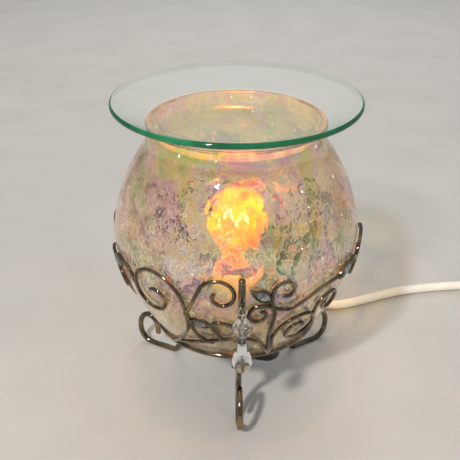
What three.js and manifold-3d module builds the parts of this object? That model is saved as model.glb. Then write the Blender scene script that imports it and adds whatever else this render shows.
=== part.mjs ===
// Aroma lamp: a flared glass dish on a crackle-glass globe, held in a three-legged basket of scroll wire.
// Millimetres, +Z up. The origin is on the floor, under the middle of the lamp's outline.

import * as THREE from 'three';
import { mergeVertices } from 'three/addons/utils/BufferGeometryUtils.js';
import Module from 'manifold-3d';

const wasm = await Module();
wasm.setup();

// Fits
const GAP = 0.3;

// Globe: a fuller-than-round bulge with a short upright neck, open at the neck and at the foot
const BELLY_R = 65;
const BELLY_Z = 101;
const CROWN_RISE = 79;
const FOOT_DROP = 82.5;
const FULLNESS = 1.7;
const GLOBE_WALL = 3;
const GLOBE_FOOT_Z = 41.3;
const SHOULDER_Z = 148;
const NECK_R = 46;
const NECK_TOP_Z = 160.5;

// Dish
const RIM_R = 63;
const RIM_Z = 172;
const DISH_GLASS = 3;
const DISH_DEPTH = 21.5;
const DISH_FLOOR_R = 28;

// Basket
const LEG_NAMES = ['front', 'right', 'left'];
const SECTOR = 360 / LEG_NAMES.length;
const FRONT_AZIMUTH = -90;
const LEG_ROD = 3.4;
const WIRE = 2;
const WIRE_LIFT = 0.2;
const HOOP_ROD = 2.6;
const HOOP_Z = 45.5;
const POST_TOP_Z = 106;
const POST_BLEND = 20;

// Scroll foot, at the middle of the rod. The front foot's scroll is bent up from where it meets the floor.
const HEEL_R = 37;
const SOLE_R = 47.5;
const TOE_R = 68;
const FRONT_FOOT_BEND = 37;
const CURL_WIDTH = 15.2;
const CURL_HEIGHT = 21.7;
const CURL_CLOSING = 0.8;
const FOOT_FLAT = 0.6;

// Leaf settings and their stones
const SETTING_WALL = 0.7;
const SETTING_FLOOR = 0.6;
const SETTING_HEIGHT = 2.2;
const STONE_CROWN = 0.9;
const STONE_TABLE = 0.5;

// Hanging crystals
const EYE_Z = 95;
const EYE_R = 2.7;
const EYE_WIRE = 1.4;
const LINK_R = 2;
const LINK_WIRE = 1.2;
const BEAD_R = 5;
const BEAD_HEIGHT = 9.2;
const BEAD_Z = 82.4;
const DROP_R = 5;
const DROP_HEIGHT = 20;
const DROP_TOP_Z = 76.5;
const PIN_DEPTH = 4;

// Base plate and what fixes the lampholder to it
const PLATE_R = 38;
const PLATE_THICKNESS = 2.4;
const LUG_WIDTH = 8;
const NIPPLE_R = 4.8;
const NIPPLE_BORE_R = 3.2;
const NUT_WIDTH = 14;
const NUT_HEIGHT = 4;
const WASHER_R = 8.5;
const WASHER_THICKNESS = 1;

// Lampholder
const SLEEVE_R = 12.6;
const SLEEVE_WALL = 1.1;
const SLEEVE_TOP_Z = 72;
const HOLDER_FLOOR_Z = 52;
const HOLDER_WALL = 1.7;
const HOLDER_BASE = 8;
const SHELL_WALL = 0.5;

// Bulb
const CAP_R = 8.3;
const CAP_WALL = 0.9;
const CAP_BOTTOM_Z = 59.5;
const CAP_TOP_Z = 79;
const THREADS = 5;
const THREAD_DEPTH = 0.5;
const BULB_R = 14.5;
const BULB_Z = 106;
const BULB_WALL = 0.8;
const BULB_NECK_DEPTH = 5;
const STEM_R = 2;
const STEM_TOP_Z = 91;
const FILAMENT_WIRE = 0.8;
const FILAMENT_SPAN = 13;
const FILAMENT_RISE = 7;
const FILAMENT_Z = 101;

// Black wiring cover under the plate, and the strain relief on its back
const COVER_R = 13;
const COVER_LOBE_R = 7.5;
const COVER_LOBE = new THREE.Vector2(17.5, -10.5);
const COVER_BOTTOM_Z = 20;
const COVER_WALL = 2;
const RELIEF_AZIMUTH = 70;
const RELIEF_Z = 27;
const RELIEF_LENGTH = 26;
const RELIEF_ROOT_R = 5.6;

// Cord, its switch and its plug
const CORD = 6;
const CORD_STEP = 11;
const SWITCH_SIZE = new THREE.Vector3(52, 22, 15);
const SWITCH_CORNER = 7;
const SWITCH_PLACE = new THREE.Vector2(249, 24);
const ROCKER_SIZE = new THREE.Vector3(13.6, 8, 4);
const ROCKER_TILT = 7;
const COIL_PLACE = new THREE.Vector2(206, -37);
const COIL_R = 43;
const COIL_PITCH = 7.4;
const COIL_LAYER_TURNS = 2.375;
const COIL_CLIMB_TURNS = 0.5;
const COIL_Z = 4;
const LOOP_STEPS = 24;
const TIE_STRIP = 0.6;
const TIE_WIDTH = 5;
const PLUG_SIZE = new THREE.Vector3(24, 25, 15);
const PLUG_NECK = 11;
const PLUG_FACE_X = 146;
const PLUG_Z = 8.2;
const BLADE_SIZE = new THREE.Vector3(17, 1.5, 6.3);
const BLADE_SPACING = 12.7;

// Facets
const ROUND = 36;
const SMALL_ROUND = 16;
const CRYSTAL_FACETS = 10;
const WIRE_RUN = 8;
const WIRE_TURN = 42;
const WIRE_SIDES = 5;
const ROD_STEP = 6;
const LEG_STEP = 3.5;
const ROD_SIDES = 7;

const rad = THREE.MathUtils.degToRad;
const basketGap = GAP + HOOP_ROD + GAP;
const crystalR = postRadius(BEAD_Z) + LEG_ROD / 2 + GAP + BEAD_R;
const lampFrontReach = crystalR + BEAD_R;
const lampBackReach = BELLY_R + GAP + WIRE;
const AXIS_Y = (lampFrontReach - lampBackReach) / 2;

const FINISHES = {
  dishGlass: { color: 0xd8efe2, roughness: 0.05, metalness: 0, transparent: true, opacity: 0.4 },
  crackleGlass: { color: 0xe6dcd2, roughness: 0.25, metalness: 0, transparent: true, opacity: 0.5 },
  bulbGlass: { color: 0xffb347, roughness: 0.1, metalness: 0, transparent: true, opacity: 0.6 },
  darkMetal: { color: 0x4a453c, roughness: 0.25, metalness: 1 },
  brass: { color: 0xb8924a, roughness: 0.3, metalness: 1 },
  nickel: { color: 0xb9b6ae, roughness: 0.3, metalness: 1 },
  whitePlastic: { color: 0xf2ede2, roughness: 0.45, metalness: 0 },
  blackPlastic: { color: 0x121212, roughness: 0.5, metalness: 0 },
  crystal: { color: 0xf4f6f8, roughness: 0.03, metalness: 0, transparent: true, opacity: 0.5 },
  stone: { color: 0x58646e, roughness: 0.1, metalness: 0 },
  filament: { color: 0xffe2a0, roughness: 0.6, metalness: 0, emissive: 0xffb040 },
};

// Solids and helpers

function solid(geometry) {
  const bare = geometry.clone();
  bare.deleteAttribute('normal');
  bare.deleteAttribute('uv');
  const merged = mergeVertices(bare, 1e-4);
  const triVerts = [];
  const index = merged.index.array;
  for (let i = 0; i < index.length; i += 3) {
    const corners = [index[i], index[i + 1], index[i + 2]];
    if (new Set(corners).size === 3) triVerts.push(...corners);
  }
  const mesh = new wasm.Mesh({
    numProp: 3,
    vertProperties: new Float32Array(merged.attributes.position.array),
    triVerts: new Uint32Array(triVerts),
  });
  return new wasm.Manifold(mesh);
}

function geometryOf(body) {
  const mesh = body.getMesh();
  const geometry = new THREE.BufferGeometry();
  geometry.setAttribute('position', new THREE.BufferAttribute(mesh.vertProperties, 3));
  geometry.setIndex(new THREE.BufferAttribute(mesh.triVerts, 1));
  return geometry;
}

function joined(geometries) {
  return geometries.map(solid).reduce((whole, next) => whole.add(next));
}

function lathe(profile, segments = ROUND) {
  const points = profile.map(([r, z]) => new THREE.Vector2(r, z));
  return new THREE.LatheGeometry(points, segments).rotateX(Math.PI / 2);
}

// A ring-shaped turning: its profile comes back to its first point.
function ring(profile, segments = ROUND) {
  return lathe([...profile, profile[0]], segments);
}

function regularSection(radius, sides) {
  const corners = Array.from({ length: sides }, (_, k) => {
    const angle = (2 * Math.PI * (k + 0.5)) / sides;
    return new THREE.Vector2(radius * Math.cos(angle), radius * Math.sin(angle));
  });
  return new THREE.Shape(corners);
}

function tube(points, radius, sides, step) {
  const path = new THREE.CatmullRomCurve3(points, false, 'centripetal');
  const steps = Math.max(3, Math.round(path.getLength() / step));
  return new THREE.ExtrudeGeometry(regularSection(radius, sides), {
    steps,
    extrudePath: path,
    bevelEnabled: false,
  });
}

// A path that is stepped at its own points
class PointPath extends THREE.CatmullRomCurve3 {
  getUtoTmapping(u) {
    return u;
  }
}

function wireThrough(points) {
  const path = new PointPath(points, false, 'centripetal');
  return new THREE.ExtrudeGeometry(regularSection(WIRE / 2, WIRE_SIDES), {
    steps: points.length - 1,
    extrudePath: path,
    bevelEnabled: false,
  });
}

function box(size, x, y, z) {
  return new THREE.BoxGeometry(size.x, size.y, size.z).translate(x, y, z);
}

function roundedOutline(length, width, corner) {
  const x = length / 2 - corner;
  const y = width / 2 - corner;
  const outline = new THREE.Shape();
  outline.absarc(x, y, corner, 0, Math.PI / 2);
  outline.absarc(-x, y, corner, Math.PI / 2, Math.PI);
  outline.absarc(-x, -y, corner, Math.PI, 1.5 * Math.PI);
  outline.absarc(x, -y, corner, 1.5 * Math.PI, 2 * Math.PI);
  return outline;
}

function slab(outline, bottom, top, curveSegments = 4) {
  const depth = top - bottom;
  const geometry = new THREE.ExtrudeGeometry(outline, { depth, bevelEnabled: false, curveSegments });
  return geometry.translate(0, 0, bottom);
}

function add(group, name, geometry, finish) {
  const mesh = new THREE.Mesh(geometry, new THREE.MeshStandardMaterial(FINISHES[finish]));
  mesh.name = name;
  group.add(mesh);
  return mesh;
}

// Shape of the globe, which the basket follows

function globeRadius(z) {
  const reach = z > BELLY_Z ? CROWN_RISE : FOOT_DROP;
  const rise = Math.abs(z - BELLY_Z) / reach;
  return BELLY_R * Math.pow(1 - Math.pow(rise, FULLNESS), 1 / FULLNESS);
}

// The basket stands upright above the belly, so that the globe can be lifted out.
function basketRadius(z) {
  return globeRadius(Math.min(z, BELLY_Z));
}

// A post lies on the globe and steps out round the hoop.
function postRadius(z) {
  const down = THREE.MathUtils.smoothstep(HOOP_Z + POST_BLEND - z, 0, POST_BLEND);
  return basketRadius(z) + GAP + LEG_ROD / 2 + down * (basketGap - GAP);
}

function globe() {
  const steps = 10;
  const outer = [];
  for (let i = 0; i <= steps; i += 1) {
    const z = THREE.MathUtils.lerp(GLOBE_FOOT_Z, SHOULDER_Z, i / steps);
    outer.push([globeRadius(z), z]);
  }
  const inner = outer.map(([r, z]) => [r - GLOBE_WALL, z]).reverse();
  const collar = SHOULDER_Z + (NECK_TOP_Z - SHOULDER_Z) / 3;
  const neck = [
    [NECK_R, collar],
    [NECK_R, NECK_TOP_Z],
    [NECK_R - GLOBE_WALL, NECK_TOP_Z],
    [NECK_R - GLOBE_WALL, collar],
  ];
  return ring([...outer, ...neck, ...inner]);
}

// The dish's bowl hangs in the neck and its flange lies on the neck's top.
function dish() {
  const floor = RIM_Z - DISH_GLASS - DISH_DEPTH;
  const seat = NECK_TOP_Z + GAP;
  const wallR = NECK_R - GLOBE_WALL - GAP;
  const underside = [
    [0, floor],
    [DISH_FLOOR_R, floor],
    [THREE.MathUtils.lerp(DISH_FLOOR_R, wallR, 0.5), floor + 0.16 * (seat - floor)],
    [THREE.MathUtils.lerp(DISH_FLOOR_R, wallR, 0.8), floor + 0.46 * (seat - floor)],
    [THREE.MathUtils.lerp(DISH_FLOOR_R, wallR, 0.96), floor + 0.75 * (seat - floor)],
    [wallR, seat - GAP],
    [wallR + GAP, seat],
    [NECK_R, seat + 0.4],
    [THREE.MathUtils.lerp(NECK_R, RIM_R, 0.6), THREE.MathUtils.lerp(seat, RIM_Z - DISH_GLASS, 0.6)],
    [RIM_R - 0.8, RIM_Z - DISH_GLASS],
    [RIM_R, RIM_Z - 0.7 * DISH_GLASS],
    [RIM_R, RIM_Z - 0.3 * DISH_GLASS],
    [RIM_R - 0.8, RIM_Z],
  ];
  const bend = NECK_R - GLOBE_WALL - DISH_GLASS;
  const top = [
    [
      THREE.MathUtils.lerp(NECK_R, RIM_R, 0.6) - 1,
      THREE.MathUtils.lerp(seat, RIM_Z - DISH_GLASS, 0.6) + DISH_GLASS,
    ],
    [NECK_R, seat + 0.9 + DISH_GLASS],
    [bend + 1.2, seat + DISH_GLASS - 0.5],
    [bend - 1, floor + 0.85 * (seat - floor)],
    [THREE.MathUtils.lerp(DISH_FLOOR_R, bend, 0.7) - 1, floor + DISH_GLASS + 0.3 * (seat - floor)],
    [DISH_FLOOR_R - 1, floor + DISH_GLASS],
    [0, floor + DISH_GLASS],
  ];
  return lathe([...underside, ...top]);
}

// Basket: legs, hoop and scroll panels, in a frame whose +X axis points at the leg

function legPath(bend) {
  const points = [];
  const postSteps = 8;
  for (let i = 0; i <= postSteps; i += 1) {
    const z = THREE.MathUtils.lerp(POST_TOP_Z, HOOP_Z, i / postSteps);
    points.push(new THREE.Vector3(postRadius(z), 0, z));
  }
  const soleZ = LEG_ROD / 2 - FOOT_FLAT;
  const curlR = TOE_R - CURL_WIDTH / 2;
  const curlZ = soleZ + CURL_HEIGHT / 2;
  const postR = postRadius(HOOP_Z);
  points.push(new THREE.Vector3(THREE.MathUtils.lerp(postR, HEEL_R, 0.3), 0, 0.8 * HOOP_Z));
  points.push(new THREE.Vector3(THREE.MathUtils.lerp(postR, HEEL_R, 0.85), 0, 0.55 * HOOP_Z));
  points.push(new THREE.Vector3(HEEL_R, 0, 0.3 * HOOP_Z));
  points.push(new THREE.Vector3(THREE.MathUtils.lerp(HEEL_R, SOLE_R, 0.2), 0, 1.7 * LEG_ROD));
  points.push(new THREE.Vector3(THREE.MathUtils.lerp(HEEL_R, SOLE_R, 0.55), 0, soleZ));
  const sole = new THREE.Vector3(SOLE_R, 0, soleZ);
  points.push(sole);
  const upward = new THREE.Vector3(0, -1, 0);
  const from = -90;
  const to = 195;
  for (let angle = from; angle <= to; angle += 35) {
    const share = THREE.MathUtils.lerp(1, CURL_CLOSING, (angle - from) / (to - from));
    const x = curlR + (share * CURL_WIDTH * Math.cos(rad(angle))) / 2;
    const z = curlZ + (share * CURL_HEIGHT * Math.sin(rad(angle))) / 2;
    points.push(new THREE.Vector3(x, 0, z).sub(sole).applyAxisAngle(upward, rad(bend)).add(sole));
  }
  return points;
}

function leg(bend) {
  const rod = solid(tube(legPath(bend), LEG_ROD / 2, ROD_SIDES, LEG_STEP));
  const eye = new THREE.TorusGeometry(EYE_R, EYE_WIRE / 2, 6, 12).rotateX(Math.PI / 2);
  const below = box(new THREE.Vector3(4 * TOE_R, 4 * TOE_R, LEG_ROD), 0, 0, -LEG_ROD / 2);
  return geometryOf(rod.add(solid(eye.translate(crystalR, 0, EYE_Z))).subtract(solid(below)));
}

function roomForLeg() {
  return solid(tube(legPath(0), LEG_ROD / 2 + GAP, ROD_SIDES, LEG_STEP));
}

function hoop() {
  const middle = basketRadius(HOOP_Z) + GAP + HOOP_ROD / 2;
  return new THREE.TorusGeometry(middle, HOOP_ROD / 2, 6, ROUND).translate(0, 0, HOOP_Z);
}

// Scroll wires are drawn on the globe: degrees round from a leg, and steps above the hoop.
// A step is a share of the belly's radius, so the drawing grows with the globe.
const SCROLL_STEPS = 65;
const SCROLL_STEP = BELLY_R / SCROLL_STEPS;

function scrollZ(height) {
  return HOOP_Z + height * SCROLL_STEP;
}

function onGlobe(degrees, height, away) {
  const z = scrollZ(height);
  const r = basketRadius(z) + away;
  return new THREE.Vector3(r * Math.cos(rad(degrees)), r * Math.sin(rad(degrees)), z);
}

// Points of a volute about a place on the globe, whose radius runs from one value to another.
function volute(degrees, height, fromRadius, toRadius, fromAngle, toAngle) {
  const count = Math.ceil(Math.abs(toAngle - fromAngle) / 35);
  return Array.from({ length: count + 1 }, (_, k) => {
    const radius = THREE.MathUtils.lerp(fromRadius, toRadius, k / count);
    const angle = rad(THREE.MathUtils.lerp(fromAngle, toAngle, k / count));
    const up = radius * Math.sin(angle);
    const round = (radius * SCROLL_STEP * Math.cos(angle)) / basketRadius(scrollZ(height + up));
    return [degrees + THREE.MathUtils.radToDeg(round), height + up];
  });
}

// Lays a scroll's curve on the globe, with a point wherever it has turned or run far enough.
function drape(points) {
  const flat = points.map(([degrees, height]) => new THREE.Vector3(rad(degrees) * SCROLL_STEPS, height, 0));
  const fine = new THREE.CatmullRomCurve3(flat, false, 'centripetal').getSpacedPoints(300);
  const kept = [fine[0]];
  let turned = 0;
  let run = 0;
  for (let k = 1; k + 1 < fine.length; k += 1) {
    const before = fine[k].clone().sub(fine[k - 1]);
    turned += THREE.MathUtils.radToDeg(before.angleTo(fine[k + 1].clone().sub(fine[k])));
    run += before.length() * SCROLL_STEP;
    if (turned > WIRE_TURN || run > WIRE_RUN) {
      kept.push(fine[k]);
      turned = 0;
      run = 0;
    }
  }
  kept.push(fine[fine.length - 1]);
  const wireAway = GAP + WIRE_LIFT + WIRE / 2;
  return kept.map(({ x, y }) => onGlobe(THREE.MathUtils.radToDeg(x / SCROLL_STEPS), y, wireAway));
}

// One sector of the basket, from a leg at 0 degrees to the next one
const SCROLLS = {
  wave: [[19.5, 0], [15.4, 14.5], [14.1, 26.5], [14.6, 35], ...volute(7.9, 39, 7.3, 2.2, 10, 430)],
  tendril: [[12.7, 43.5], ...volute(18.5, 52, 6.6, 2.6, 190, -110)],
  rightSwag: [[0, 22], [7.9, 17.5], [13, 10], [18.8, 1]],
  vine: [
    [12.6, 44], [15, 42], [18.5, 40.6], [22.5, 40], [26.5, 42], [31, 44.5], [36, 47.2], [42, 48], [48.5, 48],
  ],
  vineEnd: [[57.5, 51.5], [61, 52.2], [64.5, 50.5], [67.6, 45]],
  lowScroll: [[20.5, 0], [18, 11], ...volute(30, 21.5, 13, 3.4, 190, -330)],
  smallScroll: [[38.6, 24.5], ...volute(45, 33.5, 9, 2.6, 205, -200)],
  bigScroll: [
    [69, 0], [77, 4.5], [84, 10.5], [90, 17.5], [94.6, 27], ...volute(79, 42.5, 18, 3.2, -15, 470),
  ],
  postScroll: [[94.8, 36.5], [98.4, 44], [101, 50.5], ...volute(110.8, 51, 9.8, 3, 150, -200)],
  leafStem: [[95.2, 37.4], [96.4, 33], [97.5, 23], [101, 17.5], [105.5, 16]],
  postStem: [[106.4, 31], [108.5, 33.3], [111.5, 33.5], [120, 29]],
  curl: [[106, 30.4], [108, 25.5], [110.5, 19]],
  leftSwag: [[79, 6], [93.5, 12.5], [103, 16.5], [110.3, 19.5], [120, 22]],
};

// Leaf settings of a sector: place, tilt, and length and width in steps
const LEAVES = [
  { degrees: 8.3, height: 51.5, tilt: -33, length: 14.5, width: 6.6 },
  { degrees: 53, height: 49.6, tilt: 20, length: 14, width: 7 },
  { degrees: 101.5, height: 32.5, tilt: -17, length: 11.5, width: 5.6 },
];

// A leaf outline is two arcs that meet in points. Each level is a share of it and a height.
function leafBody(length, width, levels) {
  const arcSteps = 5;
  const outline = [];
  for (let side = 1; side >= -1; side -= 2) {
    for (let k = 0; k < arcSteps; k += 1) {
      const along = side * (1 - (2 * k) / arcSteps);
      outline.push([(along * length) / 2, (side * (1 - along * along) * width) / 2]);
    }
  }
  const position = [];
  levels.forEach(([share, z]) => outline.forEach(([x, y]) => position.push(share * x, share * y, z)));
  const count = outline.length;
  const index = [];
  for (let level = 0; level + 1 < levels.length; level += 1) {
    for (let k = 0; k < count; k += 1) {
      const a = level * count + k;
      const b = level * count + ((k + 1) % count);
      index.push(a, b, b + count, a, b + count, a + count);
    }
  }
  const top = (levels.length - 1) * count;
  for (let k = 1; k + 1 < count; k += 1) {
    index.push(0, k + 1, k);
    index.push(top, top + k, top + k + 1);
  }
  const geometry = new THREE.BufferGeometry();
  geometry.setAttribute('position', new THREE.Float32BufferAttribute(position, 3));
  geometry.setIndex(index);
  return geometry;
}

function leafPlace({ degrees, height, tilt }) {
  const z = scrollZ(height);
  const spread = 0.5;
  const slope = Math.atan((basketRadius(z + spread) - basketRadius(z - spread)) / (2 * spread));
  const out = onGlobe(degrees, height, 0).setZ(0).normalize();
  const round = new THREE.Vector3(-out.y, out.x, 0);
  const normal = out.clone().multiplyScalar(Math.cos(slope));
  normal.z = -Math.sin(slope);
  const up = normal.clone().cross(round);
  const along = round.clone().multiplyScalar(Math.cos(rad(tilt))).addScaledVector(up, Math.sin(rad(tilt)));
  const across = normal.clone().cross(along);
  const place = new THREE.Matrix4().makeBasis(along, across, normal);
  return place.setPosition(onGlobe(degrees, height, 0).addScaledVector(normal, GAP));
}

function pocket(leaf, fit, levels) {
  const wall = 2 * (SETTING_WALL + fit);
  const pointed = wall * (leaf.length / leaf.width);
  const length = leaf.length * SCROLL_STEP - pointed;
  return leafBody(length, leaf.width * SCROLL_STEP - wall, levels).applyMatrix4(leafPlace(leaf));
}

function scrollPanel() {
  const wires = Object.values(SCROLLS).map((points) => wireThrough(drape(points)));
  const settings = LEAVES.map((leaf) => {
    const levels = [[1, 0], [1, SETTING_HEIGHT]];
    const body = leafBody(leaf.length * SCROLL_STEP, leaf.width * SCROLL_STEP, levels);
    return body.applyMatrix4(leafPlace(leaf));
  });
  let panel = joined([...wires, ...settings]);
  LEAVES.forEach((leaf) => {
    const hollow = pocket(leaf, 0, [[1, SETTING_FLOOR], [1, 2 * SETTING_HEIGHT]]);
    panel = panel.subtract(solid(hollow));
  });
  const roomForPost = roomForLeg();
  const middle = basketRadius(HOOP_Z) + GAP + HOOP_ROD / 2;
  const roomForHoop = new THREE.TorusGeometry(middle, HOOP_ROD / 2 + GAP, 6, ROUND).translate(0, 0, HOOP_Z);
  panel = panel.subtract(roomForPost).subtract(roomForPost.rotate([0, 0, SECTOR]));
  return geometryOf(panel.subtract(solid(roomForHoop)));
}

function leafStone(leaf) {
  const floor = SETTING_FLOOR + GAP;
  const girdle = SETTING_HEIGHT;
  return pocket(leaf, GAP, [[1, floor], [1, girdle], [STONE_TABLE, girdle + STONE_CROWN]]);
}

// Hanging crystals: a link in the leg's eye, with a pin that carries the bead and the drop

const linkTop = EYE_Z - EYE_R + EYE_WIRE / 2 + GAP + LINK_WIRE / 2;

function crystalLink() {
  const middle = linkTop - LINK_R;
  const loop = new THREE.TorusGeometry(LINK_R, LINK_WIRE / 2, 6, 12);
  loop.rotateX(Math.PI / 2).rotateZ(Math.PI / 2);
  const pinTop = middle - LINK_R;
  const pinBottom = DROP_TOP_Z - PIN_DEPTH;
  const pin = lathe([[0, pinBottom], [LINK_WIRE / 2, pinBottom], [LINK_WIRE / 2, pinTop], [0, pinTop]], 8);
  return geometryOf(joined([loop.translate(0, 0, middle), pin]));
}

function crystalBead() {
  const hole = LINK_WIRE / 2 + GAP;
  const half = BEAD_HEIGHT / 2;
  const profile = [[hole, -half], [0.45 * BEAD_R, -half], [0.86 * BEAD_R, -0.5 * half], [BEAD_R, 0]];
  const upper = profile.slice(0, 3).map(([r, z]) => [r, -z]).reverse();
  return ring([...profile, ...upper], CRYSTAL_FACETS).translate(0, 0, BEAD_Z);
}

function crystalDrop() {
  const hole = LINK_WIRE / 2 + GAP;
  const bottom = DROP_TOP_Z - DROP_HEIGHT;
  const profile = [
    [0, 0],
    [0.55 * DROP_R, 0.07 * DROP_HEIGHT],
    [0.93 * DROP_R, 0.2 * DROP_HEIGHT],
    [DROP_R, 0.34 * DROP_HEIGHT],
    [0.82 * DROP_R, 0.52 * DROP_HEIGHT],
    [0.36 * DROP_R, 0.86 * DROP_HEIGHT],
    [0.3 * DROP_R, DROP_HEIGHT],
    [hole, DROP_HEIGHT],
    [hole, DROP_HEIGHT - PIN_DEPTH - GAP],
    [0, DROP_HEIGHT - PIN_DEPTH - GAP],
  ];
  return lathe(profile, CRYSTAL_FACETS).translate(0, 0, bottom);
}

// Base plate, lampholder and bulb, all on the lamp's axis

const plateTop = GLOBE_FOOT_Z - GAP;
const plateBottom = plateTop - PLATE_THICKNESS;
const washerTop = plateBottom - GAP;
const nutTop = washerTop - WASHER_THICKNESS - GAP;

function basePlate() {
  const disc = lathe([[0, plateBottom], [PLATE_R, plateBottom], [PLATE_R, plateTop], [0, plateTop]]);
  const lugEnd = THREE.MathUtils.lerp(HEEL_R, postRadius(HOOP_Z), 0.8);
  const lugSize = new THREE.Vector3(lugEnd - PLATE_R / 2, LUG_WIDTH, PLATE_THICKNESS);
  const lug = solid(box(lugSize, lugEnd - lugSize.x / 2, 0, (plateTop + plateBottom) / 2));
  const notched = lug.subtract(roomForLeg());
  const bore = new THREE.CylinderGeometry(NIPPLE_R + GAP, NIPPLE_R + GAP, 4 * PLATE_THICKNESS, SMALL_ROUND);
  const hole = bore.rotateX(Math.PI / 2).translate(0, 0, plateBottom);
  let plate = solid(disc);
  LEG_NAMES.forEach((_, k) => {
    plate = plate.add(notched.rotate([0, 0, FRONT_AZIMUTH + k * SECTOR]));
  });
  return geometryOf(plate.subtract(solid(hole)));
}

function sleeveTube(inner, outer, bottom, top, segments = SMALL_ROUND) {
  return ring([[inner, bottom], [outer, bottom], [outer, top], [inner, top]], segments);
}

function lockNut() {
  const hexagon = regularSection(NUT_WIDTH / Math.sqrt(3), 6);
  const hole = new THREE.Path();
  hole.absarc(0, 0, NIPPLE_R + GAP, 0, 2 * Math.PI, true);
  hexagon.holes.push(hole);
  return slab(hexagon, nutTop - NUT_HEIGHT, nutTop, 10);
}

const holderR = SLEEVE_R - SLEEVE_WALL - GAP;
const holderBottom = plateTop + GAP;
const shellR = CAP_R + GAP + SHELL_WALL;
const holderBoreR = shellR + GAP;
const holderTop = SLEEVE_TOP_Z - 2 * HOLDER_WALL;

function lampholderBody() {
  const rod = NIPPLE_R + GAP;
  return ring([
    [rod, holderBottom],
    [holderR, holderBottom],
    [holderR, holderTop],
    [holderBoreR, holderTop],
    [holderBoreR, HOLDER_FLOOR_Z],
    [rod - 2 * HOLDER_WALL, HOLDER_FLOOR_Z],
    [rod - 2 * HOLDER_WALL, holderBottom + HOLDER_BASE],
    [rod, holderBottom + HOLDER_BASE],
  ], SMALL_ROUND);
}

function lampholderContact() {
  const top = CAP_BOTTOM_Z - 3 * GAP - 3;
  const bottom = HOLDER_FLOOR_Z + GAP;
  return lathe([[0, bottom], [3.4, bottom], [3.4, bottom + 1], [2.2, top], [0, top]], 12);
}

function bulbCap() {
  const pitch = (CAP_TOP_Z - CAP_BOTTOM_Z - 4) / THREADS;
  const threads = [];
  for (let k = 0; k < THREADS; k += 1) {
    const z = CAP_BOTTOM_Z + 1 + k * pitch;
    threads.push([CAP_R - THREAD_DEPTH, z], [CAP_R, z + pitch / 2]);
  }
  const bore = CAP_R - THREAD_DEPTH - CAP_WALL;
  return ring([
    [bore, CAP_BOTTOM_Z],
    [CAP_R - 2 * THREAD_DEPTH, CAP_BOTTOM_Z],
    ...threads,
    [CAP_R, CAP_TOP_Z],
    [bore, CAP_TOP_Z],
  ], SMALL_ROUND);
}

function bulbGlass() {
  const neckR = CAP_R - THREAD_DEPTH - CAP_WALL - GAP;
  const neckBottom = CAP_TOP_Z - BULB_NECK_DEPTH;
  const outer = [
    [neckR, neckBottom],
    [neckR, CAP_TOP_Z + GAP],
    [CAP_R - THREAD_DEPTH, CAP_TOP_Z + 2],
    [0.71 * BULB_R, THREE.MathUtils.lerp(CAP_TOP_Z, BULB_Z, 0.34)],
    [0.91 * BULB_R, THREE.MathUtils.lerp(CAP_TOP_Z, BULB_Z, 0.66)],
  ];
  const dome = [];
  for (let angle = 0; angle < 90; angle += 18) {
    dome.push([BULB_R * Math.cos(rad(angle)), BULB_Z + BULB_R * Math.sin(rad(angle))]);
  }
  const top = BULB_Z + BULB_R;
  const wall = [...outer, ...dome];
  const lining = wall.map(([r, z]) => [r - BULB_WALL, z]).reverse();
  return lathe([...[[0, top - BULB_WALL]], ...lining, ...wall, [0, top]], SMALL_ROUND);
}

function bulbStem() {
  const flare = CAP_R - THREAD_DEPTH - CAP_WALL - 2 * GAP - BULB_WALL;
  const bottom = CAP_TOP_Z - BULB_NECK_DEPTH;
  return lathe([
    [0, bottom],
    [flare, bottom],
    [STEM_R, THREE.MathUtils.lerp(bottom, STEM_TOP_Z, 0.5)],
    [STEM_R, STEM_TOP_Z],
    [0, STEM_TOP_Z],
  ], 12);
}

// The leads rise from the stem and the filament runs between them in a zigzag.
function bulbFilament() {
  const half = FILAMENT_SPAN / 2;
  const foot = STEM_TOP_Z + GAP + FILAMENT_WIRE;
  const zigzag = [-half, -half / 2, 0, half / 2, half].map((x, k) => {
    const z = FILAMENT_Z + (k % 2 ? FILAMENT_RISE : 0);
    return new THREE.Vector3(x, 0, z);
  });
  const ends = [-1, 1].map((side) => new THREE.Vector3(0.5 * side * STEM_R, 0, foot));
  return tube([ends[0], ...zigzag, ends[1]], FILAMENT_WIRE / 2, WIRE_SIDES, 2.2);
}

// Wiring: cover, strain relief, cord, switch and plug

function coverOutline(inset) {
  const between = COVER_LOBE.length();
  const facing = COVER_LOBE.angle();
  const tangent = Math.acos((COVER_R - COVER_LOBE_R) / between);
  const outline = new THREE.Shape();
  outline.absarc(0, 0, COVER_R - inset, facing + tangent, facing - tangent + 2 * Math.PI);
  outline.absarc(COVER_LOBE.x, COVER_LOBE.y, COVER_LOBE_R - inset, facing - tangent, facing + tangent);
  return outline;
}

function wiringCover() {
  const top = plateBottom - GAP;
  const cup = solid(slab(coverOutline(0), COVER_BOTTOM_Z, top, 9));
  const room = slab(coverOutline(COVER_WALL), COVER_BOTTOM_Z + COVER_WALL, top + 1, 9);
  return geometryOf(cup.subtract(solid(room)));
}

function strainRelief() {
  const ribs = 4;
  const tip = CORD / 2 + 1;
  const profile = [[0, 0]];
  for (let k = 0; k <= ribs; k += 1) {
    const r = THREE.MathUtils.lerp(RELIEF_ROOT_R, tip, k / ribs);
    const z = (k * RELIEF_LENGTH) / (ribs + 1);
    profile.push([r, z], [r, z + 0.6 * (RELIEF_LENGTH / (ribs + 1))]);
  }
  profile.push([tip, RELIEF_LENGTH], [0, RELIEF_LENGTH]);
  return lathe(profile, 12).rotateY(Math.PI / 2);
}

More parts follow.
